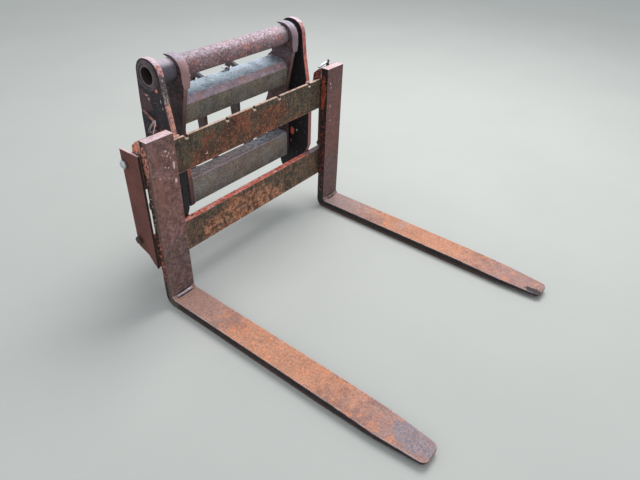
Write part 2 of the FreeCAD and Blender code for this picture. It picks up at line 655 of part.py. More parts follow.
def upper_beam():
    low, high = beam_reach()
    rear = UPPER_BEAM_FRONT + UPPER_BEAM_DEPTH
    bottom = UPPER_BEAM_BOTTOM
    chamfer = UPPER_BEAM_CHAMFER
    wall = CARRIER_WALL
    skin = plate((
        (UPPER_BEAM_FRONT, bottom, UPPER_BEAM_EDGE_RADIUS),
        (UPPER_BEAM_FRONT, UPPER_BEAM_TOP - chamfer, UPPER_BEAM_CHAMFER_RADIUS),
        (UPPER_BEAM_FRONT + chamfer, UPPER_BEAM_TOP, UPPER_BEAM_CHAMFER_RADIUS),
        (rear, UPPER_BEAM_TOP, UPPER_BEAM_EDGE_RADIUS),
        (rear, bottom, UPPER_BEAM_EDGE_RADIUS),
    ), low, high)
    hollow = plate((
        (UPPER_BEAM_FRONT + wall, bottom + wall, 0),
        (UPPER_BEAM_FRONT + wall, UPPER_BEAM_TOP - chamfer, 0),
        (UPPER_BEAM_FRONT + chamfer, UPPER_BEAM_TOP - wall, 0),
        (rear - wall, UPPER_BEAM_TOP - wall, 0),
        (rear - wall, bottom + wall, 0),
    ), low, high)
    beam = skin.cut(hollow)
    beam.rotate(upper_beam_hinge(), Vector(1, 0, 0), UPPER_BEAM_TILT)
    return beam


def lower_beam():
    """Channel whose web faces forward and whose flanges run back."""
    low, high = beam_reach()
    rear = LOWER_BEAM_FRONT + LOWER_BEAM_DEPTH
    top = LOWER_BEAM_TOP
    wall = CARRIER_WALL
    return plate((
        (LOWER_BEAM_FRONT, LOWER_BEAM_BOTTOM, LOWER_BEAM_BEND_RADIUS),
        (LOWER_BEAM_FRONT, top, LOWER_BEAM_BEND_RADIUS),
        (rear, top, 0),
        (rear, top - wall, 0),
        (LOWER_BEAM_FRONT + wall, top - wall, 0),
        (LOWER_BEAM_FRONT + wall, LOWER_BEAM_BOTTOM + wall, 0),
        (rear, LOWER_BEAM_BOTTOM + wall, 0),
        (rear, LOWER_BEAM_BOTTOM, 0),
    ), low, high)


def tilt_lug(side):
    """One of the two upright plates behind both beams that take the tilt link at their top."""
    low, high = span(side, TILT_GAP / 2, TILT_GAP / 2 + TILT_LUG_THICKNESS)
    low += CARRIER_OFFSET
    high += CARRIER_OFFSET
    tilt = math.radians(UPPER_BEAM_TILT)
    hinge = upper_beam_hinge()

    def on_rear_face(drop):
        depth = hinge.y + UPPER_BEAM_DEPTH * math.cos(tilt) + drop * math.sin(tilt)
        height = hinge.z + UPPER_BEAM_DEPTH * math.sin(tilt) - drop * math.cos(tilt)
        return depth, height, 0

    knee_depth = on_rear_face(UPPER_BEAM_HEIGHT)[0]
    lower_rear = LOWER_BEAM_FRONT + LOWER_BEAM_DEPTH
    lower_top = LOWER_BEAM_TOP
    lug = plate((
        on_rear_face(TILT_LUG_MARGIN),
        on_rear_face(UPPER_BEAM_HEIGHT),
        (knee_depth, TILT_LUG_KNEE_HEIGHT, TILT_LUG_KNEE_RADIUS),
        (lower_rear, lower_top, 0),
        (lower_rear, LOWER_BEAM_BOTTOM, 0),
        (lower_rear + TILT_LUG_FOOT_DEPTH, LOWER_BEAM_BOTTOM, TILT_LUG_FOOT_RADIUS),
        (lower_rear + TILT_LUG_FOOT_DEPTH, lower_top, TILT_LUG_KNEE_RADIUS),
        (hinge.y + UPPER_BEAM_DEPTH + TILT_LUG_REACH, TILT_LUG_KNEE_HEIGHT, TILT_LUG_KNEE_RADIUS),
        (TILT_PIVOT_DEPTH + TILT_PIVOT_BOSS, TILT_PIVOT_HEIGHT, 0),
        (TILT_PIVOT_DEPTH, TILT_PIVOT_HEIGHT + TILT_PIVOT_BOSS, 0),
    ), low, high)
    boss = disc(low, high, TILT_PIVOT_DEPTH, TILT_PIVOT_HEIGHT, TILT_PIVOT_BOSS)
    pivot = hole_across(low, high, TILT_PIVOT_DEPTH, TILT_PIVOT_HEIGHT, TILT_PIVOT_BORE)
    return lug.fuse(boss).cut(pivot).removeSplitter()


# Lock pins, pushed in from outside, each with a head and a bent pull handle

def lock_pin(side):
    seat = EAR_OUTER + PAD_THICKNESS + SEAT_GAP
    inner = Vector(side * LOCK_PIN_INNER_END, LOCK_PIN_DEPTH, LOCK_PIN_HEIGHT)
    under_head = Vector(side * seat, LOCK_PIN_DEPTH, LOCK_PIN_HEIGHT)
    head_top = under_head + Vector(side * LOCK_PIN_HEAD_THICKNESS, 0, 0)
    return rod(inner, head_top, LOCK_PIN_RADIUS).fuse(rod(under_head, head_top, LOCK_PIN_HEAD_RADIUS))


def bow(side, start, reach, half, radius, low):
    return standing_bar((
        (side * start, LOCK_PIN_HEIGHT - half, 0),
        (side * start, LOCK_PIN_HEIGHT + half, 0),
        (side * (start + reach), LOCK_PIN_HEIGHT + half, radius),
        (side * (start + reach), LOCK_PIN_HEIGHT - half, radius),
    ), low, low + LOCK_PIN_HANDLE_BAR)


def lock_pin_handle(side):
    """Bow of flat bar that stands on the pin's head."""
    head = EAR_OUTER + PAD_THICKNESS + SEAT_GAP + LOCK_PIN_HEAD_THICKNESS
    low = LOCK_PIN_DEPTH - LOCK_PIN_HANDLE_BAR / 2
    half = LOCK_PIN_HEAD_RADIUS - LOCK_PIN_HANDLE_INSET
    outside = bow(side, head, LOCK_PIN_HANDLE_REACH, half, LOCK_PIN_HANDLE_BEND, low)
    inside = bow(side, head, LOCK_PIN_HANDLE_REACH - LOCK_PIN_HANDLE_BAR, half - LOCK_PIN_HANDLE_BAR,
                 LOCK_PIN_HANDLE_BEND - LOCK_PIN_HANDLE_BAR, low)
    return outside.cut(inside)


write("upper_fork_bar", upper_bar())
write("lower_fork_bar", lower_bar())
write("pickup_tube", tube())
write("carrier_upper_beam", upper_beam())
write("carrier_lower_beam", lower_beam())
for name, side in SIDES:
    fork_centre = side * FORK_CENTRES / 2
    write(name + "_fork_arm", fork_arm(fork_centre))
    write(name + "_fork_top_hook", top_hook(fork_centre))
    write(name + "_fork_bottom_hook", bottom_hook(fork_centre))
    write(name + "_latch_pin", latch_pin(fork_centre, name == WIRE_LOOP_SIDE))
    write(name + "_end_plate", end_plate(side))
    write(name + "_end_plate_bolts", end_plate_bolts(side))
    write(name + "_ear", ear(side))
    write(name + "_ear_pad", ear_pad(side))
    write(name + "_tube_collar", collar(side))
    write(name + "_carrier_hook_plate", hook_plate(side))
    write(name + "_arm_lug", arm_lug(side))
    write(name + "_tilt_lug", tilt_lug(side))
    write(name + "_lock_pin", lock_pin(side))
    write(name + "_lock_pin_handle", lock_pin_handle(side))
write("left_latch_wire_loop", wire_loop(-FORK_CENTRES / 2))
write("right_latch_lever", latch_lever(FORK_CENTRES / 2))
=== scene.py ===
# Pallet fork attachment hung on a quick hitch carrier: the finish of every piece and its small fittings.
# Metres. +X runs along the fork bars, the forks point to -Y, +Z is up from the floor under the blades.
import math

import bpy
from mathutils import Matrix, Vector


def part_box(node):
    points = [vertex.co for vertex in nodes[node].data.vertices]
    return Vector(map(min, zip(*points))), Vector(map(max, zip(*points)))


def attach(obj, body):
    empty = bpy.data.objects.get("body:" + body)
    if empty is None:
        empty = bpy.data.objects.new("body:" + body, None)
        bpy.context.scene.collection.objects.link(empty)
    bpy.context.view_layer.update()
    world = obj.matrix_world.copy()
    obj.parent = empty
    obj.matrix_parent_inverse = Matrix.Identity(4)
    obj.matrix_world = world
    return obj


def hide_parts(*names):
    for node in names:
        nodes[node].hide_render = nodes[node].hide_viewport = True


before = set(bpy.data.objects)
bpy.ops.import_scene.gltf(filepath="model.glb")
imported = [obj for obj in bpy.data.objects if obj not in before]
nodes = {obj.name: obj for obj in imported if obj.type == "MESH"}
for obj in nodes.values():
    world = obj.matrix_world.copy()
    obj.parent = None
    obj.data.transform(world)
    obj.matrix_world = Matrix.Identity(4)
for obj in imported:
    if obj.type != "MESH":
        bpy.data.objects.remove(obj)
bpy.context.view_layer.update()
LEFT = -1
RIGHT = 1
SIDES = (("left", LEFT), ("right", RIGHT))


# Floor and soft light
# A plain pale floor without pattern, under light that comes evenly from all around.
# One broad lamp hangs over the right end of the attachment, where the picture is brightest.
FLOOR_WIDTH = 40.0
FLOOR_GREY = (184, 185, 180)
SKY_GREY = (232, 238, 244)
SKY_LEVEL = 0.85
SKY_SEEN_LEVEL = 0.9
SKYLIGHT_PLACE = Vector((2.2, 0.6, 4.2))
SKYLIGHT_WIDTH = 3.0
SKYLIGHT_WATTS = 165.0


def rgb(red, green, blue):
    """Linear colour of the red, green and blue that a picture shows, each 0 to 255."""
    def linear(value):
        share = value / 255
        return share / 12.92 if share < 0.04045 else ((share + 0.055) / 1.055) ** 2.4
    return linear(red), linear(green), linear(blue), 1.0


def add(tree, kind, inputs=None, **settings):
    """One node of a material, with its settings and with the value or the socket that feeds each input."""
    made = tree.nodes.new("ShaderNode" + kind)
    for name, value in settings.items():
        setattr(made, name, value)
    for name, value in (inputs or {}).items():
        if isinstance(value, bpy.types.NodeSocket):
            tree.links.new(value, made.inputs[name])
        else:
            made.inputs[name].default_value = value
    return made


def mixed(tree, share, under, over, how="MIX"):
    """The colour over laid on the colour under by its share."""
    return add(tree, "Mix", {0: share, 6: under, 7: over}, data_type="RGBA", blend_type=how).outputs[2]


def calc(tree, how, *values):
    return add(tree, "Math", dict(enumerate(values)), operation=how).outputs[0]


def ramp(tree, value, low, high, start=0.0, end=1.0):
    """Runs softly from start to end while value goes from low to high."""
    limits = {"Value": value, "From Min": low, "From Max": high, "To Min": start, "To Max": end}
    return add(tree, "MapRange", limits, interpolation_type="SMOOTHSTEP").outputs["Result"]


def noise(tree, coords, scale, detail=4.0, rough=0.6, bent=0.0):
    inputs = {"Vector": coords, "Scale": scale, "Detail": detail, "Roughness": rough, "Distortion": bent}
    return add(tree, "TexNoise", inputs).outputs[0]


def new_material(name):
    """Material with its node tree, its Principled shader and the object's own coordinates."""
    material = bpy.data.materials.new(name)
    material.use_nodes = True
    tree = material.node_tree
    return material, tree, tree.nodes["Principled BSDF"], add(tree, "TexCoord").outputs["Object"]


def surface(tree, shader, colour, roughness, height, depth, metal=0.0):
    """Feeds the shader: its colour, its roughness, how much bare metal shows, and relief of a real depth."""
    bump = add(tree, "Bump", {"Strength": 1.0, "Distance": depth, "Height": height})
    for name, value in (("Base Color", colour), ("Roughness", roughness), ("Metallic", metal)):
        if isinstance(value, bpy.types.NodeSocket):
            tree.links.new(value, shader.inputs[name])
        else:
            shader.inputs[name].default_value = value
    tree.links.new(bump.outputs["Normal"], shader.inputs["Normal"])


def deselect():
    bpy.ops.object.select_all(action="DESELECT")


def pick(*objects):
    """Select these objects alone, the first one active."""
    deselect()
    for piece in objects:
        piece.select_set(True)
    bpy.context.view_layer.objects.active = objects[0]


deselect()
bpy.ops.mesh.primitive_plane_add(size=FLOOR_WIDTH, location=(0, 0, -0.0005))
floor = bpy.context.object
floor.name = "plain_floor"
floor_material, tree, shader, coords = new_material("Pale floor")
cloud = noise(tree, coords, 1.3, 5.0)
floor_colour = mixed(tree, ramp(tree, cloud, 0.3, 0.7, 0.0, 0.25), rgb(*FLOOR_GREY), rgb(196, 196, 190))
surface(tree, shader, floor_colour, 0.9, noise(tree, coords, 180.0), 0.0004)
floor.data.materials.append(floor_material)

world = bpy.data.worlds.new("Light from all around")
bpy.context.scene.world = world
world.use_nodes = True
tree = world.node_tree
rays = add(tree, "LightPath").outputs
seen = calc(tree, "MAXIMUM", rays["Is Camera Ray"], rays["Is Glossy Ray"])
seen = calc(tree, "MAXIMUM", seen, rays["Is Transmission Ray"])
level = add(tree, "MapRange", {"Value": seen, "To Min": SKY_LEVEL, "To Max": SKY_SEEN_LEVEL}).outputs[0]
tree.nodes["Background"].inputs["Color"].default_value = rgb(*SKY_GREY)
tree.links.new(level, tree.nodes["Background"].inputs["Strength"])

deselect()
bpy.ops.object.light_add(type="AREA", location=SKYLIGHT_PLACE)
skylight = bpy.context.object
skylight.name = "Broad lamp"
skylight.data.shape = "DISK"
skylight.data.size = SKYLIGHT_WIDTH
skylight.data.energy = SKYLIGHT_WATTS
skylight.rotation_mode = "QUATERNION"
skylight.rotation_quaternion = (Vector((0, 0, 0.4)) - SKYLIGHT_PLACE).to_track_quat("-Z", "Y")

bpy.context.scene.view_settings.view_transform = "Standard"


# Camera of the photo
# It stands 1.6 m above the floor, in front of the left fork, looking down along the bars.
# It is turned a little about its own axis, as the upright edges in the picture lean.
CAMERA_PLACE = Vector((-1.5422, -1.0440, 1.5935))
CAMERA_HEADING = math.radians(36.535)
CAMERA_PITCH = math.radians(-36.273)
CAMERA_ROLL = math.radians(2.311)
CAMERA_LENS = 30.07

deselect()
bpy.ops.object.camera_add(location=CAMERA_PLACE)
camera = bpy.context.object
ahead = Vector((math.cos(CAMERA_PITCH) * math.cos(CAMERA_HEADING),
                math.cos(CAMERA_PITCH) * math.sin(CAMERA_HEADING),
                math.sin(CAMERA_PITCH)))
across = Vector((math.sin(CAMERA_HEADING), -math.cos(CAMERA_HEADING), 0))
upward = across.cross(ahead)
turned_across = across * math.cos(CAMERA_ROLL) + upward * math.sin(CAMERA_ROLL)
turned_upward = upward * math.cos(CAMERA_ROLL) - across * math.sin(CAMERA_ROLL)
camera.matrix_world = Matrix.Translation(CAMERA_PLACE) @ Matrix(
    (turned_across, turned_upward, -ahead)).transposed().to_4x4()
camera.data.lens = CAMERA_LENS
camera.data.clip_end = FLOOR_WIDTH * 2
bpy.context.scene.camera = camera


# Fork arms
# Each is one forged bar of hardened steel, bent at the heel and drawn out to the tip by the forge.
# The red paint is worn off the blades down to orange rust, and the shanks are left purple-brown.
FORK_EDGE = 0.0022
BLADE_TOP = 0.040
SHANK_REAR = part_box("left_fork_arm")[1].y
SHANK_FRONT = SHANK_REAR - 0.040
SHANK_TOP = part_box("left_fork_arm")[1].z
BLADE_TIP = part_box("left_fork_arm")[0].y
LEFT_FORK_X = (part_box("left_fork_arm")[0].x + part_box("left_fork_arm")[1].x) / 2
RIGHT_FORK_X = -LEFT_FORK_X
FORK_HALF = (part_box("left_fork_arm")[1].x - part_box("left_fork_arm")[0].x) / 2
FAR = 50.0
# Spots of chipped paint on the shanks' front: X, Z, half width, half height
SHANK_CHIPS = (
    (-0.502, 0.701, 0.0045, 0.0040), (-0.517, 0.691, 0.0030, 0.0025), (-0.497, 0.681, 0.0045, 0.0035),
    (-0.489, 0.689, 0.0028, 0.0030), (-0.485, 0.669, 0.0030, 0.0025), (-0.469, 0.683, 0.0030, 0.0065),
    (-0.513, 0.640, 0.0030, 0.0030), (-0.499, 0.634, 0.0035, 0.0030), (-0.474, 0.634, 0.0045, 0.0160),
    (-0.542, 0.605, 0.0030, 0.0030), (-0.504, 0.592, 0.0045, 0.0028), (-0.474, 0.570, 0.0055, 0.0100),
    (0.481, 0.685, 0.0030, 0.0080), (0.485, 0.663, 0.0030, 0.0050), (0.542, 0.687, 0.0030, 0.0025),
    (0.485, 0.571, 0.0030, 0.0060), (0.490, 0.497, 0.0025, 0.0030),
)
# Paint left along the rear of the shanks' sides: hand, middle Z, half width, half height, share, fineness,
# colour
SIDE_PAINT = (
    (LEFT, 0.672, 0.021, 0.066, 0.66, 105.0, (214, 138, 116)),
    (LEFT, 0.575, 0.018, 0.040, 0.56, 95.0, (146, 88, 78)),
    (LEFT, 0.460, 0.016, 0.100, 0.36, 85.0, (196, 136, 120)),
    (LEFT, 0.235, 0.017, 0.125, 0.46, 80.0, (206, 112, 86)),
    (RIGHT, 0.640, 0.020, 0.085, 0.70, 60.0, (186, 82, 50)),
    (RIGHT, 0.330, 0.023, 0.250, 0.42, 85.0, (158, 74, 56)),
)
# Painted shade: dark lines where the heel strips stand off the fork: X, half length
STRIP_SHADOW_LINES = ((-0.5175, 0.047), (0.5175, 0.034))


def new_group(name, inputs, outputs):
    """Empty shader group with its named inputs, (name, kind, value), and its named outputs, (name, kind)."""
    group = bpy.data.node_groups.new(name, "ShaderNodeTree")
    for label, kind, value in inputs:
        group.interface.new_socket(label, in_out="INPUT",
                                   socket_type="NodeSocket" + kind).default_value = value
    for label, kind in outputs:
        group.interface.new_socket(label, in_out="OUTPUT", socket_type="NodeSocket" + kind)
    return group, group.nodes.new("NodeGroupInput").outputs, group.nodes.new("NodeGroupOutput").inputs


def rust_group():
    """Rust bloom: broad clouds of a dark and a middle colour, lighter specks, fine grit."""
    group, given, result = new_group("Rust bloom", (
        ("Vector", "Vector", (0, 0, 0)), ("Dark", "Color", (0, 0, 0, 1)), ("Middle", "Color", (0, 0, 0, 1)),
        ("Light", "Color", (0, 0, 0, 1)), ("Clouds", "Float", 10.0), ("Specks", "Float", 0.5),
    ), (("Color", "Color"), ("Height", "Float"), ("Roughness", "Float")))
    broad = noise(group, given["Vector"], given["Clouds"], 7.0, 0.62, 0.4)
    fine = noise(group, given["Vector"], calc(group, "MULTIPLY", given["Clouds"], 9.0), 5.0, 0.68)
    grit = noise(group, given["Vector"], calc(group, "MULTIPLY", given["Clouds"], 52.0), 3.0, 0.7)
    colour = mixed(group, ramp(group, broad, 0.36, 0.64), given["Dark"], given["Middle"])
    speck_share = calc(group, "MULTIPLY", ramp(group, fine, 0.5, 0.72), given["Specks"])
    colour = mixed(group, speck_share, colour, given["Light"])
    colour = mixed(group, ramp(group, grit, 0.56, 0.78, 0.0, 0.45), colour, given["Dark"])
    height = calc(group, "ADD", calc(group, "MULTIPLY", fine, 0.6), calc(group, "MULTIPLY", grit, 0.4))
    group.links.new(colour, result["Color"])
    group.links.new(height, result["Height"])
    group.links.new(ramp(group, fine, 0.3, 0.7, 0.62, 0.86), result["Roughness"])
    return group


def flake_group():
    """What is left of old paint: flakes with a ragged rim, dark rust close round them."""
    group, given, result = new_group("Paint flakes", (
        ("Vector", "Vector", (0, 0, 0)), ("Under", "Color", (0, 0, 0, 1)), ("Paint", "Color", (0, 0, 0, 1)),
        ("Rim", "Color", (0, 0, 0, 1)), ("Share", "Float", 0.5), ("Fineness", "Float", 30.0),
    ), (("Color", "Color"), ("Mask", "Float")))
    field = noise(group, given["Vector"], given["Fineness"], 7.0, 0.62, 0.3)
    spread = add(group, "MapRange", {"Value": field, "From Min": 0.3, "From Max": 0.7}).outputs[0]
    bare = calc(group, "SUBTRACT", 1.0, given["Share"])
    above = calc(group, "SUBTRACT", spread, bare)
    left_on = ramp(group, above, -0.02, 0.03)
    rim = ramp(group, above, -0.16, -0.01, 0.0, 0.75)
    fade = noise(group, given["Vector"], calc(group, "MULTIPLY", given["Fineness"], 0.7), 3.0)
    paint = mixed(group, ramp(group, fade, 0.4, 0.7, 0.0, 0.4), given["Paint"], given["Rim"])
    under = mixed(group, rim, given["Under"], given["Rim"])
    group.links.new(mixed(group, left_on, under, paint), result["Color"])
    group.links.new(left_on, result["Mask"])
    return group


def edge_group():
    """Wear along the outer edges of a piece, in broken stretches."""
    group, given, result = new_group("Edge wear", (
        ("Vector", "Vector", (0, 0, 0)), ("Width", "Float", 0.004), ("Amount", "Float", 1.0),
    ), (("Mask", "Float"),))
    rounded = add(group, "Bevel", {"Radius": given["Width"]}, samples=6).outputs["Normal"]
    flat = add(group, "NewGeometry").outputs["Normal"]
    along = add(group, "VectorMath", {0: rounded, 1: flat}, operation="DOT_PRODUCT").outputs["Value"]
    turned = ramp(group, along, 0.995, 0.86)
    broken = ramp(group, noise(group, given["Vector"], 38.0, 5.0, 0.7), 0.36, 0.58, 0.25, 1.0)
    worn = calc(group, "MULTIPLY", calc(group, "MULTIPLY", turned, broken), given["Amount"])
    group.links.new(worn, result["Mask"])
    return group


def patch_group():
    """A patch with a ragged border at one place of the piece."""
    group, given, result = new_group("Patch", (
        ("Vector", "Vector", (0, 0, 0)), ("Centre", "Vector", (0, 0, 0)), ("Reach", "Vector", (1, 1, 1)),
        ("Ragged", "Float", 0.3), ("Fineness", "Float", 30.0),
    ), (("Mask", "Float"),))
    apart = add(group, "VectorMath", {0: given["Vector"], 1: given["Centre"]},
                operation="SUBTRACT").outputs[0]
    scaled = add(group, "VectorMath", {0: apart, 1: given["Reach"]}, operation="DIVIDE").outputs[0]
    distance = add(group, "VectorMath", {0: scaled}, operation="LENGTH").outputs["Value"]
    uneven = calc(group, "SUBTRACT", noise(group, given["Vector"], given["Fineness"], 6.0, 0.65), 0.5)
    border = calc(group, "ADD", distance,
                  calc(group, "MULTIPLY", uneven, calc(group, "MULTIPLY", given["Ragged"], 4.0)))
    group.links.new(ramp(group, border, 1.08, 0.88), result["Mask"])
    return group


def scratch_group():
    """Fine long scratches along one direction, given by how the coordinates are stretched."""
    group, given, result = new_group("Scratches", (
        ("Vector", "Vector", (0, 0, 0)), ("Stretch", "Vector", (1, 1, 1)), ("Width", "Float", 0.02),
        ("Amount", "Float", 0.5),
    ), (("Mask", "Float"),))
    stretched = add(group, "VectorMath", {0: given["Vector"], 1: given["Stretch"]},
                    operation="MULTIPLY").outputs[0]
    field = noise(group, stretched, 1.0, 2.0, 0.5)
    beside = calc(group, "ABSOLUTE", calc(group, "SUBTRACT", field, 0.5))
    line = calc(group, "SUBTRACT", 1.0, ramp(group, beside, 0.0, given["Width"]))
    gaps = ramp(group, noise(group, given["Vector"], 14.0, 5.0, 0.7), 0.5, 0.62)
    group.links.new(calc(group, "MULTIPLY", calc(group, "MULTIPLY", line, gaps), given["Amount"]),
                    result["Mask"])
    return group


def facing_group():
    """How squarely the surface looks along a direction."""
    group, given, result = new_group("Facing", (("Direction", "Vector", (0, 0, 1)),), (("Mask", "Float"),))
    normal = add(group, "NewGeometry").outputs["Normal"]
    along = add(group, "VectorMath", {0: normal, 1: given["Direction"]},
                operation="DOT_PRODUCT").outputs["Value"]
    group.links.new(ramp(group, along, 0.55, 0.85), result["Mask"])
    return group


def dirt_and_shade_group():
    """Dark dirt where pieces meet, and painted shade there: darker where ambient occlusion finds the surface
    closed in.
    """
    group, given, result = new_group("Dirt and painted shade", (
        ("Vector", "Vector", (0, 0, 0)), ("Reach", "Float", 0.03), ("Amount", "Float", 0.7),
    ), (("Mask", "Float"),))
    open_sky = add(group, "AmbientOcclusion", {"Distance": given["Reach"]}, samples=8).outputs["AO"]
    uneven = noise(group, given["Vector"], 45.0, 4.0)
    closed = ramp(group, calc(group, "ADD", open_sky, calc(group, "MULTIPLY", uneven, 0.35)), 1.0, 0.55)
    group.links.new(calc(group, "MULTIPLY", closed, given["Amount"]), result["Mask"])
    return group


def grain_group():
    """Fine light and dark grain of a rusted or weathered face."""
    group, given, result = new_group("Grain", (
        ("Vector", "Vector", (0, 0, 0)), ("Color", "Color", (0.5, 0.5, 0.5, 1)),
        ("Fineness", "Float", 150.0),
        ("Amount", "Float", 0.3),
    ), (("Color", "Color"),))
    field = noise(group, given["Vector"], given["Fineness"], 4.0, 0.75)
    darkest = calc(group, "SUBTRACT", 1.0, given["Amount"])
    lightest = calc(group, "ADD", 1.0, given["Amount"])
    level = add(group, "MapRange", {"Value": field, "From Min": 0.36, "From Max": 0.64, "To Min": darkest,
                                    "To Max": lightest}).outputs[0]
    group.links.new(mixed(group, 1.0, given["Color"], level, "MULTIPLY"), result["Color"])
    return group


RUST = rust_group()
FLAKES = flake_group()
EDGES = edge_group()
PATCH = patch_group()
SCRATCHES = scratch_group()
FACING = facing_group()
DIRT_AND_SHADE = dirt_and_shade_group()
GRAIN = grain_group()


def rust(tree, coords, dark, middle, light, clouds, specks):
    return add(tree, "Group",
               {"Vector": coords, "Dark": rgb(*dark), "Middle": rgb(*middle), "Light": rgb(*light),
                               "Clouds": clouds, "Specks": specks}, node_tree=RUST).outputs


def flakes(tree, coords, under, paint, rim, share, fineness):
    return add(tree, "Group", {"Vector": coords, "Under": under, "Paint": rgb(*paint), "Rim": rgb(*rim),
                               "Share": share, "Fineness": fineness}, node_tree=FLAKES).outputs


def edges(tree, coords, width, amount):
    return add(tree, "Group", {"Vector": coords, "Width": width, "Amount": amount},
               node_tree=EDGES).outputs["Mask"]


def patch(tree, coords, centre, reach, ragged=0.3, fineness=30.0):
    return add(tree, "Group", {"Vector": coords, "Centre": centre, "Reach": reach, "Ragged": ragged,
                               "Fineness": fineness}, node_tree=PATCH).outputs["Mask"]


def scratches(tree, coords, stretch, width, amount):
    return add(tree, "Group", {"Vector": coords, "Stretch": stretch, "Width": width, "Amount": amount},
               node_tree=SCRATCHES).outputs["Mask"]


def facing(tree, direction):
    return add(tree, "Group", {"Direction": direction}, node_tree=FACING).outputs["Mask"]


# Dirt and painted shade in creases and joints, from ambient occlusion.
def dirt_and_shade(tree, coords, reach, amount):
    return add(tree, "Group", {"Vector": coords, "Reach": reach, "Amount": amount},
               node_tree=DIRT_AND_SHADE).outputs["Mask"]


def grained(tree, coords, colour, fineness, amount):
    return add(tree, "Group", {"Vector": coords, "Color": colour, "Fineness": fineness, "Amount": amount},
               node_tree=GRAIN).outputs["Color"]


def masked(tree, *masks):
    """Where all of these masks are on."""
    result = masks[0]
    for mask in masks[1:]:
        result = calc(tree, "MULTIPLY", result, mask)
    return result


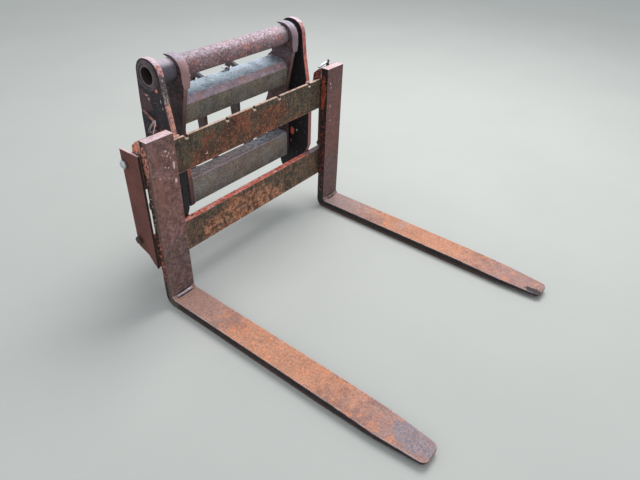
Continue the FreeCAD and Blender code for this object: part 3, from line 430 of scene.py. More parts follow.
def fork_steel():
    """Purple-brown shank, orange blade, dark sides, rubbed edges with a painted highlight, a worn and crazed
    tip.
    """
    material, tree, shader, coords = new_material("Worn fork steel")
    place = add(tree, "SeparateXYZ", {0: coords}).outputs
    up = facing(tree, (0, 0, 1))
    sides = calc(tree, "MAXIMUM", facing(tree, (-1, 0, 0)), facing(tree, (1, 0, 0)))
    right_hand = ramp(tree, place["X"], -0.2, 0.2)
    base = rust(tree, coords, (104, 74, 72), (134, 98, 94), (158, 122, 116), 9.0, 0.35)
    drawn = add(tree, "VectorMath", {0: coords, 1: (24.0, 24.0, 1.3)}, operation="MULTIPLY").outputs[0]
    bands = ramp(tree, noise(tree, drawn, 1.0, 4.0, 0.55), 0.42, 0.60, 0.0, 0.5)
    colour = mixed(tree, bands, base["Color"], rgb(122, 86, 76))
    colour = mixed(tree, calc(tree, "MULTIPLY", right_hand, 0.68), colour, rgb(94, 58, 58))

    low_shank = patch(tree, coords, (0, SHANK_FRONT, 0.10), (FAR, 0.2, 0.22), 0.4, 12.0)
    colour = mixed(tree, masked(tree, low_shank, calc(tree, "SUBTRACT", 1.0, up)), colour, rgb(100, 78, 74))
    rust_stain = patch(tree, coords, (0, SHANK_FRONT, 0.5), (FAR, 0.2, 0.16), 0.9, 9.0)
    colour = mixed(tree, calc(tree, "MULTIPLY", rust_stain, 0.35), colour, rgb(134, 86, 76))
    dark_specks = ramp(tree, noise(tree, coords, 95.0, 4.0, 0.7), 0.60, 0.68, 0.0, 0.4)
    colour = mixed(tree, dark_specks, colour, rgb(76, 50, 50))
    mottle_share = ramp(tree, noise(tree, coords, 46.0, 5.0, 0.65), 0.46, 0.56)
    mottle = mixed(tree, mottle_share, rgb(84, 58, 56),
                   mixed(tree, right_hand, rgb(152, 116, 110), rgb(118, 84, 80)))
    colour = mixed(tree, 0.32, colour, mottle)
    colour = grained(tree, coords, colour, 120.0, 0.48)
    warm_run = ramp(tree, noise(tree, drawn, 1.6, 5.0, 0.6), 0.50, 0.64, 0.0, 0.5)
    colour = mixed(tree, masked(tree, warm_run, rust_stain), colour, rgb(146, 98, 82))
    chip_colour = mixed(tree, ramp(tree, noise(tree, coords, 34.0), 0.5, 0.62), rgb(232, 200, 194),
                        rgb(220, 150, 126))
    for x, z, wide, high in SHANK_CHIPS:
        chip = patch(tree, coords, (x, SHANK_FRONT, z), (wide, 0.01, high), 0.4, 130.0)
        colour = mixed(tree, calc(tree, "MULTIPLY", chip, 0.85), colour, chip_colour)

    blade = rust(tree, coords, (144, 100, 86), (184, 132, 110), (206, 160, 142), 11.0, 0.45)
    blade_colour = blade["Color"]
    heel = ramp(tree, place["Y"], 0.02, 0.34)
    heel_colour = mixed(tree, right_hand, rgb(159, 126, 116), rgb(148, 129, 127))
    blade_colour = mixed(tree, calc(tree, "MULTIPLY", heel, 0.78), blade_colour, heel_colour)
    off_heel = ramp(tree, place["Y"], 0.34, 0.14, 0.2, 1.0)
    tip = ramp(tree, place["Y"], -0.42, -0.62)
    blade_colour = mixed(tree, calc(tree, "MULTIPLY", tip, 0.6), blade_colour, rgb(152, 126, 124))
    bright_middle = patch(tree, coords, (0, -0.13, 0.04), (FAR, 0.24, 0.1), 0.7, 7.0)
    blade_colour = mixed(tree, calc(tree, "MULTIPLY", bright_middle, 0.45), blade_colour, rgb(206, 140, 102))
    orange_cloud = ramp(tree, noise(tree, coords, 24.0, 6.0, 0.7, 0.5), 0.50, 0.64, 0.0, 0.6)
    blade_colour = mixed(tree, masked(tree, orange_cloud, off_heel), blade_colour, rgb(214, 136, 98))
    olive_cloud = ramp(tree, noise(tree, coords, 33.0, 6.0, 0.7, 0.3), 0.54, 0.66, 0.0, 0.4)
    blade_colour = mixed(tree, masked(tree, olive_cloud, off_heel), blade_colour, rgb(146, 122, 106))
    grey_wear = masked(tree, ramp(tree, noise(tree, coords, 6.0, 6.0, 0.7, 0.6), 0.56, 0.68), 0.45)
    blade_colour = mixed(tree, masked(tree, grey_wear, off_heel), blade_colour, rgb(158, 142, 140))
    drag = scratches(tree, coords, (150.0, 3.0, 10.0), 0.03, 0.55)
    blade_colour = mixed(tree, drag, blade_colour, rgb(116, 80, 72))
    pale_drag = scratches(tree, coords, (95.0, 2.2, 14.0), 0.02, 0.4)
    blade_colour = mixed(tree, pale_drag, blade_colour, rgb(214, 182, 168))
    pits = ramp(tree, noise(tree, coords, 210.0, 2.0, 0.5), 0.68, 0.74, 0.0, 0.7)
    blade_colour = mixed(tree, pits, blade_colour, rgb(84, 56, 50))
    blade_colour = grained(tree, coords, blade_colour, 120.0, 0.28)
    worn_tip = patch(tree, coords, (LEFT_FORK_X + 0.014, BLADE_TIP + 0.078, 0.03), (0.050, 0.085, 0.06),
                     0.30, 28.0)
    wavy = add(tree, "TexNoise", {"Vector": coords, "Scale": 55.0, "Detail": 3.0}).outputs["Color"]
    pushed = add(tree, "VectorMath", {0: wavy, "Scale": 0.030}, operation="SCALE").outputs[0]
    crack_cells = {"Vector": add(tree, "VectorMath", {0: coords, 1: pushed}, operation="ADD").outputs[0],
                   "Scale": 74.0}
    crack = add(tree, "TexVoronoi", crack_cells, feature="DISTANCE_TO_EDGE").outputs["Distance"]
    scale_tone = add(tree, "TexVoronoi", crack_cells).outputs["Color"]
    scale_grey = mixed(tree, scale_tone, rgb(114, 115, 126), rgb(138, 128, 136))
    scale_rim = mixed(tree, ramp(tree, noise(tree, coords, 60.0), 0.42, 0.58), rgb(166, 144, 148),
                      rgb(172, 128, 120))
    worn_colour = mixed(tree, ramp(tree, crack, 0.10, 0.02), scale_grey, scale_rim)
    worn_colour = grained(tree, coords, worn_colour, 170.0, 0.22)
    blade_colour = mixed(tree, calc(tree, "MULTIPLY", worn_tip, 0.86), blade_colour, worn_colour)
    black_corner = patch(tree, coords, (RIGHT_FORK_X - 0.036, BLADE_TIP + 0.030, 0.03),
                         (0.022, 0.045, 0.05), 0.4, 60.0)
    blade_colour = mixed(tree, black_corner, blade_colour, rgb(58, 46, 48))
    low_part = ramp(tree, place["Z"], 0.075, 0.05)
    colour = mixed(tree, masked(tree, up, low_part), colour, blade_colour)

    side_steel = rust(tree, coords, (20, 16, 17), (42, 32, 31), (74, 54, 48), 16.0, 0.5)
    side_colour = side_steel["Color"]
    low_edge = ramp(tree, place["Z"], 0.022, 0.004, 0.0, 0.8)
    side_colour = mixed(tree, low_edge, side_colour, rgb(92, 66, 56))
    front_band = ramp(tree, place["Y"], SHANK_REAR - 0.016, SHANK_REAR - 0.021)
    above_heel = calc(tree, "MAXIMUM", ramp(tree, place["Z"], 0.045, 0.065),
                      ramp(tree, place["Y"], 0.385, 0.41))
    left_band = masked(tree, front_band, above_heel, calc(tree, "SUBTRACT", 1.0, right_hand), 0.9)
    band_colour = mixed(tree, ramp(tree, place["Z"], 0.05, 0.16), rgb(88, 76, 64), rgb(108, 80, 72))
    band_colour = grained(tree, coords, band_colour, 150.0, 0.6)
    side_colour = mixed(tree, left_band, side_colour, band_colour)
    low_red = patch(tree, coords, (LEFT_FORK_X, SHANK_REAR - 0.008, 0.235), (0.2, 0.019, 0.140), 0.2, 30.0)
    side_colour = mixed(tree, calc(tree, "MULTIPLY", low_red, 0.8), side_colour, rgb(66, 28, 26))
    pinholes = add(tree, "TexVoronoi", {"Vector": coords, "Scale": 105.0}).outputs["Distance"]
    pinhole_share = ramp(tree, pinholes, 0.48, 0.36, 0.0, 0.85)
    for hand, place_z, reach_y, reach_z, share, fineness, orange in SIDE_PAINT:
        strip = patch(tree, coords, (hand * RIGHT_FORK_X, SHANK_REAR - reach_y * 0.75, place_z),
                      (0.2, reach_y, reach_z), 0.25, 30.0)
        painted = flakes(tree, coords, side_colour, orange, (24, 16, 17), share, fineness)
        pinholed = mixed(tree, pinhole_share, painted["Color"], rgb(26, 17, 18))
        side_colour = mixed(tree, strip, side_colour, pinholed)
    colour = mixed(tree, sides, colour, side_colour)

    top_paint = flakes(tree, coords, rgb(204, 182, 188), (212, 140, 132), (232, 214, 214), 0.36, 90.0)
    top_marks = scratches(tree, coords, (60.0, 260.0, 30.0), 0.07, 0.7)
    top_colour = mixed(tree, top_marks, top_paint["Color"], rgb(170, 96, 92))
    high_part = ramp(tree, place["Z"], 0.70, 0.74)
    colour = mixed(tree, masked(tree, up, high_part), colour, grained(tree, coords, top_colour, 180.0, 0.2))

    # Rubbed edges: a pale line along the edges, partly real wear and partly a painted highlight.
    rubbed = edges(tree, coords, 0.0065, 1.0)
    pale_edge_wear_and_highlight = mixed(tree, low_part, rgb(190, 170, 174), rgb(224, 208, 218))
    colour = mixed(tree, calc(tree, "MULTIPLY", rubbed, ramp(tree, low_part, 0.0, 1.0, 0.5, 1.0)), colour,
                   pale_edge_wear_and_highlight)
    colour = mixed(tree, dirt_and_shade(tree, coords, 0.02, 0.6), colour, rgb(44, 34, 32))
    # Painted shade in the gaps above and in front of each heel strip, laid as near-black lines.
    for x, half_length in STRIP_SHADOW_LINES:
        over = patch(tree, coords, (x, SHANK_FRONT, BLADE_TOP + 0.0125), (half_length, 0.004, 0.0026), 0.12,
                     60.0)
        ahead_of = patch(tree, coords, (x, SHANK_FRONT - 0.0128, BLADE_TOP), (half_length, 0.0026, 0.004),
                         0.12, 60.0)
        colour = mixed(tree, calc(tree, "MAXIMUM", over, ahead_of), colour, rgb(20, 15, 16))
    roughness = calc(tree, "SUBTRACT", base["Roughness"], calc(tree, "MULTIPLY", rubbed, 0.25))
    height = calc(tree, "SUBTRACT", base["Height"], calc(tree, "MULTIPLY", pits, 0.6))
    surface(tree, shader, colour, roughness, height, 0.0007, calc(tree, "MULTIPLY", rubbed, 0.5))
    return material


def dress(material, *names):
    """The material on CAD nodes, which keep their shape."""
    for name in names:
        node = nodes[name]
        node.data.materials.clear()
        node.data.materials.append(material)


def ease_edges(width, *names):
    """Edges rubbed round by years of use, as live modifiers on the CAD nodes."""
    for name in names:
        node = nodes[name]
        weld = node.modifiers.new("Weld", "WELD")
        weld.merge_threshold = 0.00002
        flat = node.modifiers.new("Flat faces", "DECIMATE")
        flat.decimate_type = "DISSOLVE"
        flat.angle_limit = math.radians(0.5)
        bevel = node.modifiers.new("Rubbed edges", "BEVEL")
        bevel.width = width
        bevel.segments = 2
        bevel.limit_method = "ANGLE"
        bevel.angle_limit = math.radians(35)
        bevel.harden_normals = True


FORK_STEEL = fork_steel()
dress(FORK_STEEL, "left_fork_arm", "right_fork_arm")
ease_edges(FORK_EDGE, "left_fork_arm", "right_fork_arm")


# Heel strips
# A short flat bar of hard steel is laid on the inside of each heel, to take the wear there.
# It is tacked along both long sides and stops short of the fork's edges; the left one is rubbed bright, the
# right one rusted.
STRIP_LENGTH = {"left": 0.082, "right": 0.056}
STRIP_WIDTH = 0.0095
STRIP_THICKNESS = 0.006
STRIP_PLACE = Vector((0, SHANK_FRONT - 0.0066, BLADE_TOP + 0.0066))


def rubbed_strip(name, dark, middle, light, metal):
    material, tree, shader, coords = new_material(name)
    base = rust(tree, coords, dark, middle, light, 60.0, 0.5)
    drag = scratches(tree, coords, (30.0, 400.0, 400.0), 0.05, 0.5)
    colour = mixed(tree, drag, base["Color"], rgb(96, 78, 80))
    colour = mixed(tree, dirt_and_shade(tree, coords, 0.008, 0.8), colour, rgb(36, 28, 28))
    surface(tree, shader, colour, 0.42, base["Height"], 0.0003, metal)
    return material


def finish_piece(piece, material, body, bevel=0.0, segments=2):
    """Round the edges, give the mesh its place for good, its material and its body."""
    if bevel:
        rounding = piece.modifiers.new("Rounded edges", "BEVEL")
        rounding.width = bevel
        rounding.segments = segments
        rounding.limit_method = "ANGLE"
        rounding.angle_limit = math.radians(30)
        pick(piece)
        bpy.ops.object.modifier_apply(modifier=rounding.name)
    pick(piece)
    bpy.ops.object.transform_apply(location=True, rotation=True, scale=True)
    bpy.ops.object.shade_smooth_by_angle(angle=math.radians(35))
    piece.data.materials.clear()
    piece.data.materials.append(material)
    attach(piece, body)
    return piece


STRIP_STEEL = {"left": rubbed_strip("Rubbed heel strip", (128, 112, 118), (188, 176, 186), (222, 214, 224),
                                    0.35),
               "right": rubbed_strip("Rusted heel strip", (74, 62, 54), (132, 112, 98), (160, 142, 124),
                                     0.2)}
for name, side in SIDES:
    deselect()
    bpy.ops.mesh.primitive_cube_add(size=1.0)
    strip = bpy.context.object
    strip.name = name + "_heel_strip"
    strip.scale = (STRIP_LENGTH[name], STRIP_WIDTH, STRIP_THICKNESS)
    strip.rotation_euler = (math.radians(45), 0, 0)
    strip.location = STRIP_PLACE + Vector((-side * LEFT_FORK_X, 0, 0))
    bpy.ops.object.transform_apply(location=False, rotation=False, scale=True)
    finish_piece(strip, STRIP_STEEL[name], name + "_fork", 0.0016)


# Fork hooks
# The two hooks behind each shank are flame-cut from plate and welded on, and carry the fork on the bars.
# They kept most of their orange-red paint, chipped to dark steel on the corners.
BEAD_RIPPLE = 0.62
BEAD_SIDES = 8
BEAD_RINGS = 5


def hook_paint(name, paint, share):
    material, tree, shader, coords = new_material(name)
    base = rust(tree, coords, (30, 22, 22), (66, 44, 40), (118, 78, 64), 24.0, 0.5)
    old = flakes(tree, coords, base["Color"], paint, (34, 22, 22), share, 62.0)
    pale = ramp(tree, noise(tree, coords, 85.0, 4.0), 0.50, 0.62, 0.0, 0.5)
    colour = mixed(tree, masked(tree, pale, old["Mask"]), old["Color"], rgb(236, 190, 172))
    colour = mixed(tree, edges(tree, coords, 0.004, 0.8), colour, rgb(226, 196, 188))
    colour = grained(tree, coords, colour, 150.0, 0.3)
    colour = mixed(tree, dirt_and_shade(tree, coords, 0.03, 0.8), colour, rgb(24, 17, 18))
    height = calc(tree, "ADD", base["Height"], calc(tree, "MULTIPLY", old["Mask"], 0.5))
    surface(tree, shader, colour, base["Roughness"], height, 0.0006)
    return material


def weld_bead(start, end, radius):
    """Straight bead of overlapping ripples, half sunk in the corner that it fills."""
    run = Vector(end) - Vector(start)
    count = max(2, round(run.length / (radius * BEAD_RIPPLE)))
    deselect()
    bpy.ops.mesh.primitive_uv_sphere_add(segments=BEAD_SIDES, ring_count=BEAD_RINGS, radius=radius)
    bead = bpy.context.object
    bpy.ops.object.mode_set(mode="EDIT")
    bpy.ops.transform.resize(value=(1, 1, 0.75))
    bpy.ops.object.mode_set(mode="OBJECT")
    row = bead.modifiers.new("Ripples", "ARRAY")
    row.use_relative_offset = False
    row.use_constant_offset = True
    row.constant_offset_displace = (0, 0, run.length / (count - 1))
    row.count = count
    bpy.ops.object.modifier_apply(modifier=row.name)
    bead.rotation_mode = "QUATERNION"
    bead.rotation_quaternion = run.to_track_quat("Z", "Y")
    bead.location = start
    bpy.ops.object.transform_apply(location=True, rotation=True, scale=True)
    return bead


def ring_bead(centre, ring_radius, radius):
    """Bead of ripples all round an axis along X."""
    count = round(math.tau * ring_radius / (radius * BEAD_RIPPLE))
    deselect()
    bpy.ops.mesh.primitive_uv_sphere_add(segments=BEAD_SIDES, ring_count=BEAD_RINGS, radius=radius,
                                         location=(0, ring_radius, 0))
    bead = bpy.context.object
    bpy.ops.object.transform_apply(location=True, rotation=True, scale=True)
    bpy.ops.object.mode_set(mode="EDIT")
    bpy.ops.mesh.select_all(action="SELECT")
    bpy.ops.mesh.spin(steps=count - 1, dupli=True, angle=math.tau * (count - 1) / count,
                      center=(0, 0, 0), axis=(1, 0, 0))
    bpy.ops.object.mode_set(mode="OBJECT")
    bead.location = centre
    bpy.ops.object.transform_apply(location=True, rotation=True, scale=True)
    return bead


UNEVEN = bpy.data.textures.new("Uneven weld", "CLOUDS")
UNEVEN.noise_scale = 0.006


def join_beads(name, beads, material, body):
    """One piece of all the beads of a body, a little uneven as hand-laid beads are."""
    pick(*beads)
    bpy.ops.object.join()
    piece = bpy.context.object
    piece.name = name
    uneven = piece.modifiers.new("Uneven", "DISPLACE")
    uneven.texture = UNEVEN
    uneven.texture_coords = "LOCAL"
    uneven.strength = 0.0016
    bpy.ops.object.modifier_apply(modifier=uneven.name)
    return finish_piece(piece, material, body)


HOOK_PAINTS = {"left": hook_paint("Orange hook paint", (230, 140, 112), 0.74),
               "right": hook_paint("Brown hook paint", (160, 68, 52), 0.62)}
for name, side in SIDES:
    dress(HOOK_PAINTS[name], name + "_fork_top_hook", name + "_fork_bottom_hook")
    ease_edges(0.002, name + "_fork_top_hook", name + "_fork_bottom_hook")
    top_low, top_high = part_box(name + "_fork_top_hook")
    foot_low, foot_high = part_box(name + "_fork_bottom_hook")
    beads = []
    for x in (top_low.x + 0.0008, top_high.x - 0.0008):
        beads.append(weld_bead((x, SHANK_REAR, top_low.z + 0.034), (x, SHANK_REAR, top_high.z - 0.016),
                               0.0026))
    for x in (foot_low.x, foot_high.x):
        beads.append(weld_bead((x, SHANK_REAR, foot_low.z), (x, SHANK_REAR, foot_low.z + 0.0215), 0.0045))
    beads.append(weld_bead((foot_low.x, SHANK_REAR, foot_low.z), (foot_high.x, SHANK_REAR, foot_low.z),
                           0.0045))
    join_beads(name + "_hook_welds", beads, HOOK_PAINTS[name], name + "_fork")


# Latches
# A round pin stands in each top hook over its notch in the bar, drawn up so that the fork can slide.
# The left one is pulled by a bent wire that has sprung open, the right one by a zinc plated bar with a
# black cap.
WIRE_RADIUS = 0.0011
WIRE_STRANDS = (
    ((0.0, 0.0, 0.761), (0.0, 0.008, 0.761), (0.0, 0.009, 0.768), (-0.001, -0.006, 0.789),
     (-0.001, -0.028, 0.812),
     (-0.001, -0.042, 0.823), (-0.001, -0.043, 0.818), (0.0, -0.034, 0.800), (0.0, -0.024, 0.779),
     (0.0, -0.018, 0.763), (0.0, -0.010, 0.761), (0.0, 0.0, 0.761)),
    ((0.003, 0.0, 0.7625), (0.004, 0.006, 0.763), (0.005, 0.008, 0.770), (0.006, -0.012, 0.795),
     (0.004, -0.032, 0.814), (0.002, -0.039, 0.816), (0.004, -0.034, 0.806), (0.005, -0.020, 0.782),
     (0.004, -0.010, 0.765), (0.003, -0.004, 0.7625), (0.003, 0.0, 0.7625)),
)
CAP_RADIUS = 0.0062
CAP_LENGTH = 0.013


def plated_steel():
    material, tree, shader, coords = new_material("Zinc plated steel")
    spangle = ramp(tree, noise(tree, coords, 90.0, 5.0, 0.7), 0.35, 0.65)
    colour = mixed(tree, spangle, rgb(176, 180, 184), rgb(226, 229, 232))
    spots = ramp(tree, noise(tree, coords, 160.0, 4.0, 0.7), 0.60, 0.70, 0.0, 0.8)
    colour = mixed(tree, spots, colour, rgb(120, 84, 62))
    colour = mixed(tree, dirt_and_shade(tree, coords, 0.012, 0.6), colour, rgb(60, 50, 46))
    surface(tree, shader, colour, ramp(tree, spangle, 0.0, 1.0, 0.42, 0.30), spangle, 0.0001, 0.75)
    return material


def dark_pin_steel():
    material, tree, shader, coords = new_material("Dark rusted pin")
    base = rust(tree, coords, (48, 38, 38), (86, 62, 56), (124, 86, 68), 40.0, 0.6)
    rubbed = edges(tree, coords, 0.003, 0.7)
    colour = mixed(tree, rubbed, base["Color"], rgb(160, 142, 136))
    surface(tree, shader, colour, base["Roughness"], base["Height"], 0.0005,
            calc(tree, "MULTIPLY", rubbed, 0.6))
    return material


def black_rubber():
    material, tree, shader, coords = new_material("Black cap")
    grain = noise(tree, coords, 300.0, 3.0)
    colour = mixed(tree, grain, rgb(26, 26, 28), rgb(48, 48, 50))
    surface(tree, shader, colour, 0.6, grain, 0.0001)
    return material


def bent_wire(name, points, radius):
    """Round wire bent through its points, closed at both ends."""
    line = bpy.data.curves.new(name, "CURVE")
    line.dimensions = "3D"
    line.bevel_depth = radius
    line.bevel_resolution = 3
    line.use_fill_caps = True
    spline = line.splines.new("NURBS")
    spline.points.add(len(points) - 1)
    for point, place in zip(spline.points, points):
        point.co = (*place, 1.0)
    spline.order_u = 4
    spline.use_endpoint_u = True
    spline.resolution_u = 8
    wire = bpy.data.objects.new(name, line)
    bpy.context.scene.collection.objects.link(wire)
    pick(wire)
    bpy.ops.object.convert(target="MESH")
    return bpy.context.object


PLATED = plated_steel()
PIN_STEEL = dark_pin_steel()
RUBBER = black_rubber()
dress(PIN_STEEL, "left_latch_pin", "right_latch_pin")
dress(PLATED, "right_latch_lever")
ease_edges(0.0008, "right_latch_lever")
pin_low, pin_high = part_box("left_latch_pin")
pin_place = Vector(((pin_low.x + pin_high.x) / 2, (pin_low.y + pin_high.y) / 2, 0))
strands = [bent_wire("left_latch_wire", [pin_place + Vector(point) for point in points], WIRE_RADIUS)
           for points in WIRE_STRANDS]
pick(*strands)
bpy.ops.object.join()
wire = finish_piece(bpy.context.object, PLATED, "left_fork")
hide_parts("left_latch_wire_loop")

lever_low, lever_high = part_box("right_latch_lever")
lever_end = Vector((lever_high.x - 0.002, lever_low.y + 0.0045, lever_high.z - 0.0052))
lever_foot = Vector((lever_low.x + 0.002, lever_high.y - 0.0045, lever_low.z + 0.0052))
lever_run = (lever_end - lever_foot).normalized()
deselect()
bpy.ops.mesh.primitive_cylinder_add(vertices=24, radius=CAP_RADIUS, depth=CAP_LENGTH)
cap = bpy.context.object
cap.name = "right_latch_cap"
cap.rotation_mode = "QUATERNION"
cap.rotation_quaternion = lever_run.to_track_quat("Z", "Y")
cap.location = lever_end - lever_run * CAP_LENGTH * 0.42
finish_piece(cap, RUBBER, "right_fork", 0.0015, 3)


# Fork bars
# Two rolled bars, bevelled where the hooks grip, the upper one notched along its top for the latches.
# Bare olive mill scale shows through brown rust, and the top of the lower bar still has its red paint.
UPPER_BAR_LOW, UPPER_BAR_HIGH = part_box("upper_fork_bar")
LOWER_BAR_LOW, LOWER_BAR_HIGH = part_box("lower_fork_bar")
NOTCHES = (-0.370, -0.158, 0.0, 0.158, 0.370)
SMALL_HOLE = Vector((-0.282, UPPER_BAR_LOW.y + 0.012, 0.601))


def bar_steel():
    material, tree, shader, coords = new_material("Scaled bar steel")
    place = add(tree, "SeparateXYZ", {0: coords}).outputs
    up = facing(tree, (0, 0, 1))
    lower = ramp(tree, place["Z"], 0.40, 0.36)
    base = rust(tree, coords, (62, 54, 44), (88, 78, 62), (118, 102, 82), 11.0, 0.5)
    redder = rust(tree, coords, (68, 34, 24), (136, 74, 46), (186, 120, 82), 15.0, 0.8)
    ochre = rust(tree, coords, (84, 64, 38), (118, 90, 56), (150, 116, 78), 18.0, 0.5)
    cloud = noise(tree, coords, 7.5, 7.0, 0.7, 0.8)
    fine_cloud = noise(tree, coords, 26.0, 7.0, 0.72, 0.5)
    colour = mixed(tree, ramp(tree, fine_cloud, 0.50, 0.62, 0.0, 0.7), base["Color"], ochre["Color"])
    middle = patch(tree, coords, (-0.06, 0.45, 0.60), (0.30, 0.5, 0.10), 0.55, 6.0)
    foot = patch(tree, coords, (-0.06, 0.45, 0.560), (0.36, 0.5, 0.034), 0.7, 12.0)
    low_half = patch(tree, coords, (-0.09, 0.45, 0.245), (0.27, 0.5, 0.075), 0.6, 8.0)
    redness = calc(tree, "MAXIMUM", masked(tree, middle, ramp(tree, cloud, 0.36, 0.54)),
                   calc(tree, "MULTIPLY", foot, 0.8))
    redness = calc(tree, "MAXIMUM", redness, masked(tree, low_half, ramp(tree, fine_cloud, 0.34, 0.50)))
    redness = calc(tree, "MAXIMUM", redness, ramp(tree, cloud, 0.56, 0.66, 0.0, 0.5))
    colour = mixed(tree, redness, colour, redder["Color"])
    pale_rust = ramp(tree, noise(tree, coords, 52.0, 5.0, 0.7), 0.42, 0.60, 0.0, 0.75)
    lower_pale = calc(tree, "MAXIMUM", calc(tree, "MULTIPLY", lower, 0.5), low_half)
    colour = mixed(tree, masked(tree, lower_pale, lower, pale_rust), colour, rgb(204, 146, 112))
    bare_ends = masked(tree, lower, calc(tree, "SUBTRACT", 1.0, low_half), 0.42)
    colour = mixed(tree, bare_ends, colour, rgb(48, 42, 34))
    broad_dark = ramp(tree, noise(tree, coords, 17.0, 6.0, 0.65), 0.51, 0.58, 0.0, 0.5)
    colour = mixed(tree, masked(tree, broad_dark, ramp(tree, lower, 0.0, 1.0, 1.0, 0.2)), colour,
                   rgb(54, 40, 32))
    blots = ramp(tree, noise(tree, coords, 70.0, 5.0, 0.72), 0.55, 0.63, 0.0, 0.6)
    colour = mixed(tree, blots, colour, rgb(40, 32, 28))
    runs = add(tree, "VectorMath", {0: coords, 1: (60.0, 60.0, 7.0)}, operation="MULTIPLY").outputs[0]
    run_marks = ramp(tree, noise(tree, runs, 1.0, 4.0, 0.6), 0.55, 0.64, 0.0, 0.6)
    colour = mixed(tree, run_marks, colour, rgb(52, 36, 28))
    pale_runs = ramp(tree, noise(tree, runs, 1.7, 4.0, 0.6), 0.60, 0.72, 0.0, 0.4)
    colour = mixed(tree, pale_runs, colour, rgb(150, 126, 96))
    dots = ramp(tree, noise(tree, coords, 115.0, 3.0, 0.6), 0.60, 0.66, 0.0, 0.6)
    colour = mixed(tree, dots, colour, rgb(166, 132, 100))
    hole_rust = patch(tree, coords, (SMALL_HOLE.x, 0.471, SMALL_HOLE.z), (0.022, 0.03, 0.020), 0.35, 40.0)
    colour = mixed(tree, calc(tree, "MULTIPLY", hole_rust, 0.8), colour, rgb(96, 46, 26))
    # Painted light: the small hole is filled with a bright peach colour, as if light shone through it.
    light_in_hole = patch(tree, coords, (SMALL_HOLE.x + 0.002, SMALL_HOLE.y, SMALL_HOLE.z - 0.003),
                 (0.0068, 0.03, 0.0068), 0.02, 40.0)
    colour = mixed(tree, light_in_hole, colour, rgb(252, 222, 200))
    for x in NOTCHES:
        nick = patch(tree, coords, (x + 0.003, 0.471, UPPER_BAR_HIGH.z - 0.0145), (0.0075, 0.02, 0.0045),
                     0.3, 90.0)
        colour = mixed(tree, nick, colour, rgb(216, 188, 168))
    colour = grained(tree, coords, colour, 120.0, 0.55)
    top_flakes = flakes(tree, coords, rgb(92, 62, 56), (228, 112, 92), (70, 44, 42), 0.74, 70.0)
    pale_flakes = ramp(tree, noise(tree, coords, 60.0, 4.0), 0.50, 0.62, 0.0, 0.6)
    lower_top = mixed(tree, masked(tree, pale_flakes, top_flakes["Mask"]), top_flakes["Color"],
                      rgb(242, 190, 182))
    bare_right = ramp(tree, place["X"], 0.335, 0.395)
    lower_top = mixed(tree, bare_right, lower_top, grained(tree, coords, rgb(134, 114, 120), 120.0, 0.3))
    worn_top = mixed(tree, ramp(tree, noise(tree, coords, 55.0, 4.0), 0.45, 0.6), rgb(202, 172, 156),
                     rgb(160, 122, 104))
    colour = mixed(tree, up, colour, mixed(tree, lower, worn_top, lower_top))
    rubbed = edges(tree, coords, 0.004, 0.8)
    edge_share = calc(tree, "MULTIPLY", rubbed, ramp(tree, lower, 0.0, 1.0, 1.0, 0.6))
    colour = mixed(tree, edge_share, colour, mixed(tree, lower, rgb(214, 186, 168), rgb(238, 214, 208)))
    colour = mixed(tree, dirt_and_shade(tree, coords, 0.02, 0.7), colour, rgb(34, 26, 22))
    surface(tree, shader, colour, base["Roughness"], base["Height"], 0.0008)
    return material


BAR_STEEL = bar_steel()
dress(BAR_STEEL, "upper_fork_bar", "lower_fork_bar")
ease_edges(0.0016, "upper_fork_bar", "lower_fork_bar")


# End plates and their bolts
# A brown-rusted plate is welded over each end of both bars, and keeps the forks on them.
# Two bolts are left in its rear edge: the upper one of the left plate new and zinc plated, the others rusted
# in.
BOLT_PROUD = 0.0125
BOLT_CROWN = 0.0014
BOLT_CORNER = 0.030 / math.sqrt(3)
THREAD_RADIUS = 0.0094
THREAD_PITCH = 0.0025
END_PLATE_BEAD = 0.0038


def plate_rust():
    material, tree, shader, coords = new_material("Smooth brown rust")
    up = facing(tree, (0, 0, 1))
    base = rust(tree, coords, (96, 52, 44), (114, 63, 54), (132, 78, 67), 12.0, 0.3)
    colour = grained(tree, coords, base["Color"], 150.0, 0.16)
    dark_cloud = ramp(tree, noise(tree, coords, 9.0, 5.0), 0.52, 0.70, 0.0, 0.5)
    colour = mixed(tree, dark_cloud, colour, rgb(80, 48, 42))
    # Painted highlight: faces that look up are made nearly white.
    colour = mixed(tree, calc(tree, "MULTIPLY", up, 0.95), colour, rgb(238, 208, 208))
    rubbed = edges(tree, coords, 0.003, 0.5)
    colour = mixed(tree, rubbed, colour, rgb(176, 138, 130))
    # Painted shade: faces that look to the front are made nearly black.
    front = facing(tree, (0, -1, 0))
    colour = mixed(tree, calc(tree, "MULTIPLY", front, 0.85), colour, rgb(34, 26, 26))
    colour = mixed(tree, dirt_and_shade(tree, coords, 0.02, 0.6), colour, rgb(44, 32, 28))
    surface(tree, shader, colour, base["Roughness"], base["Height"], 0.0005)
    return material


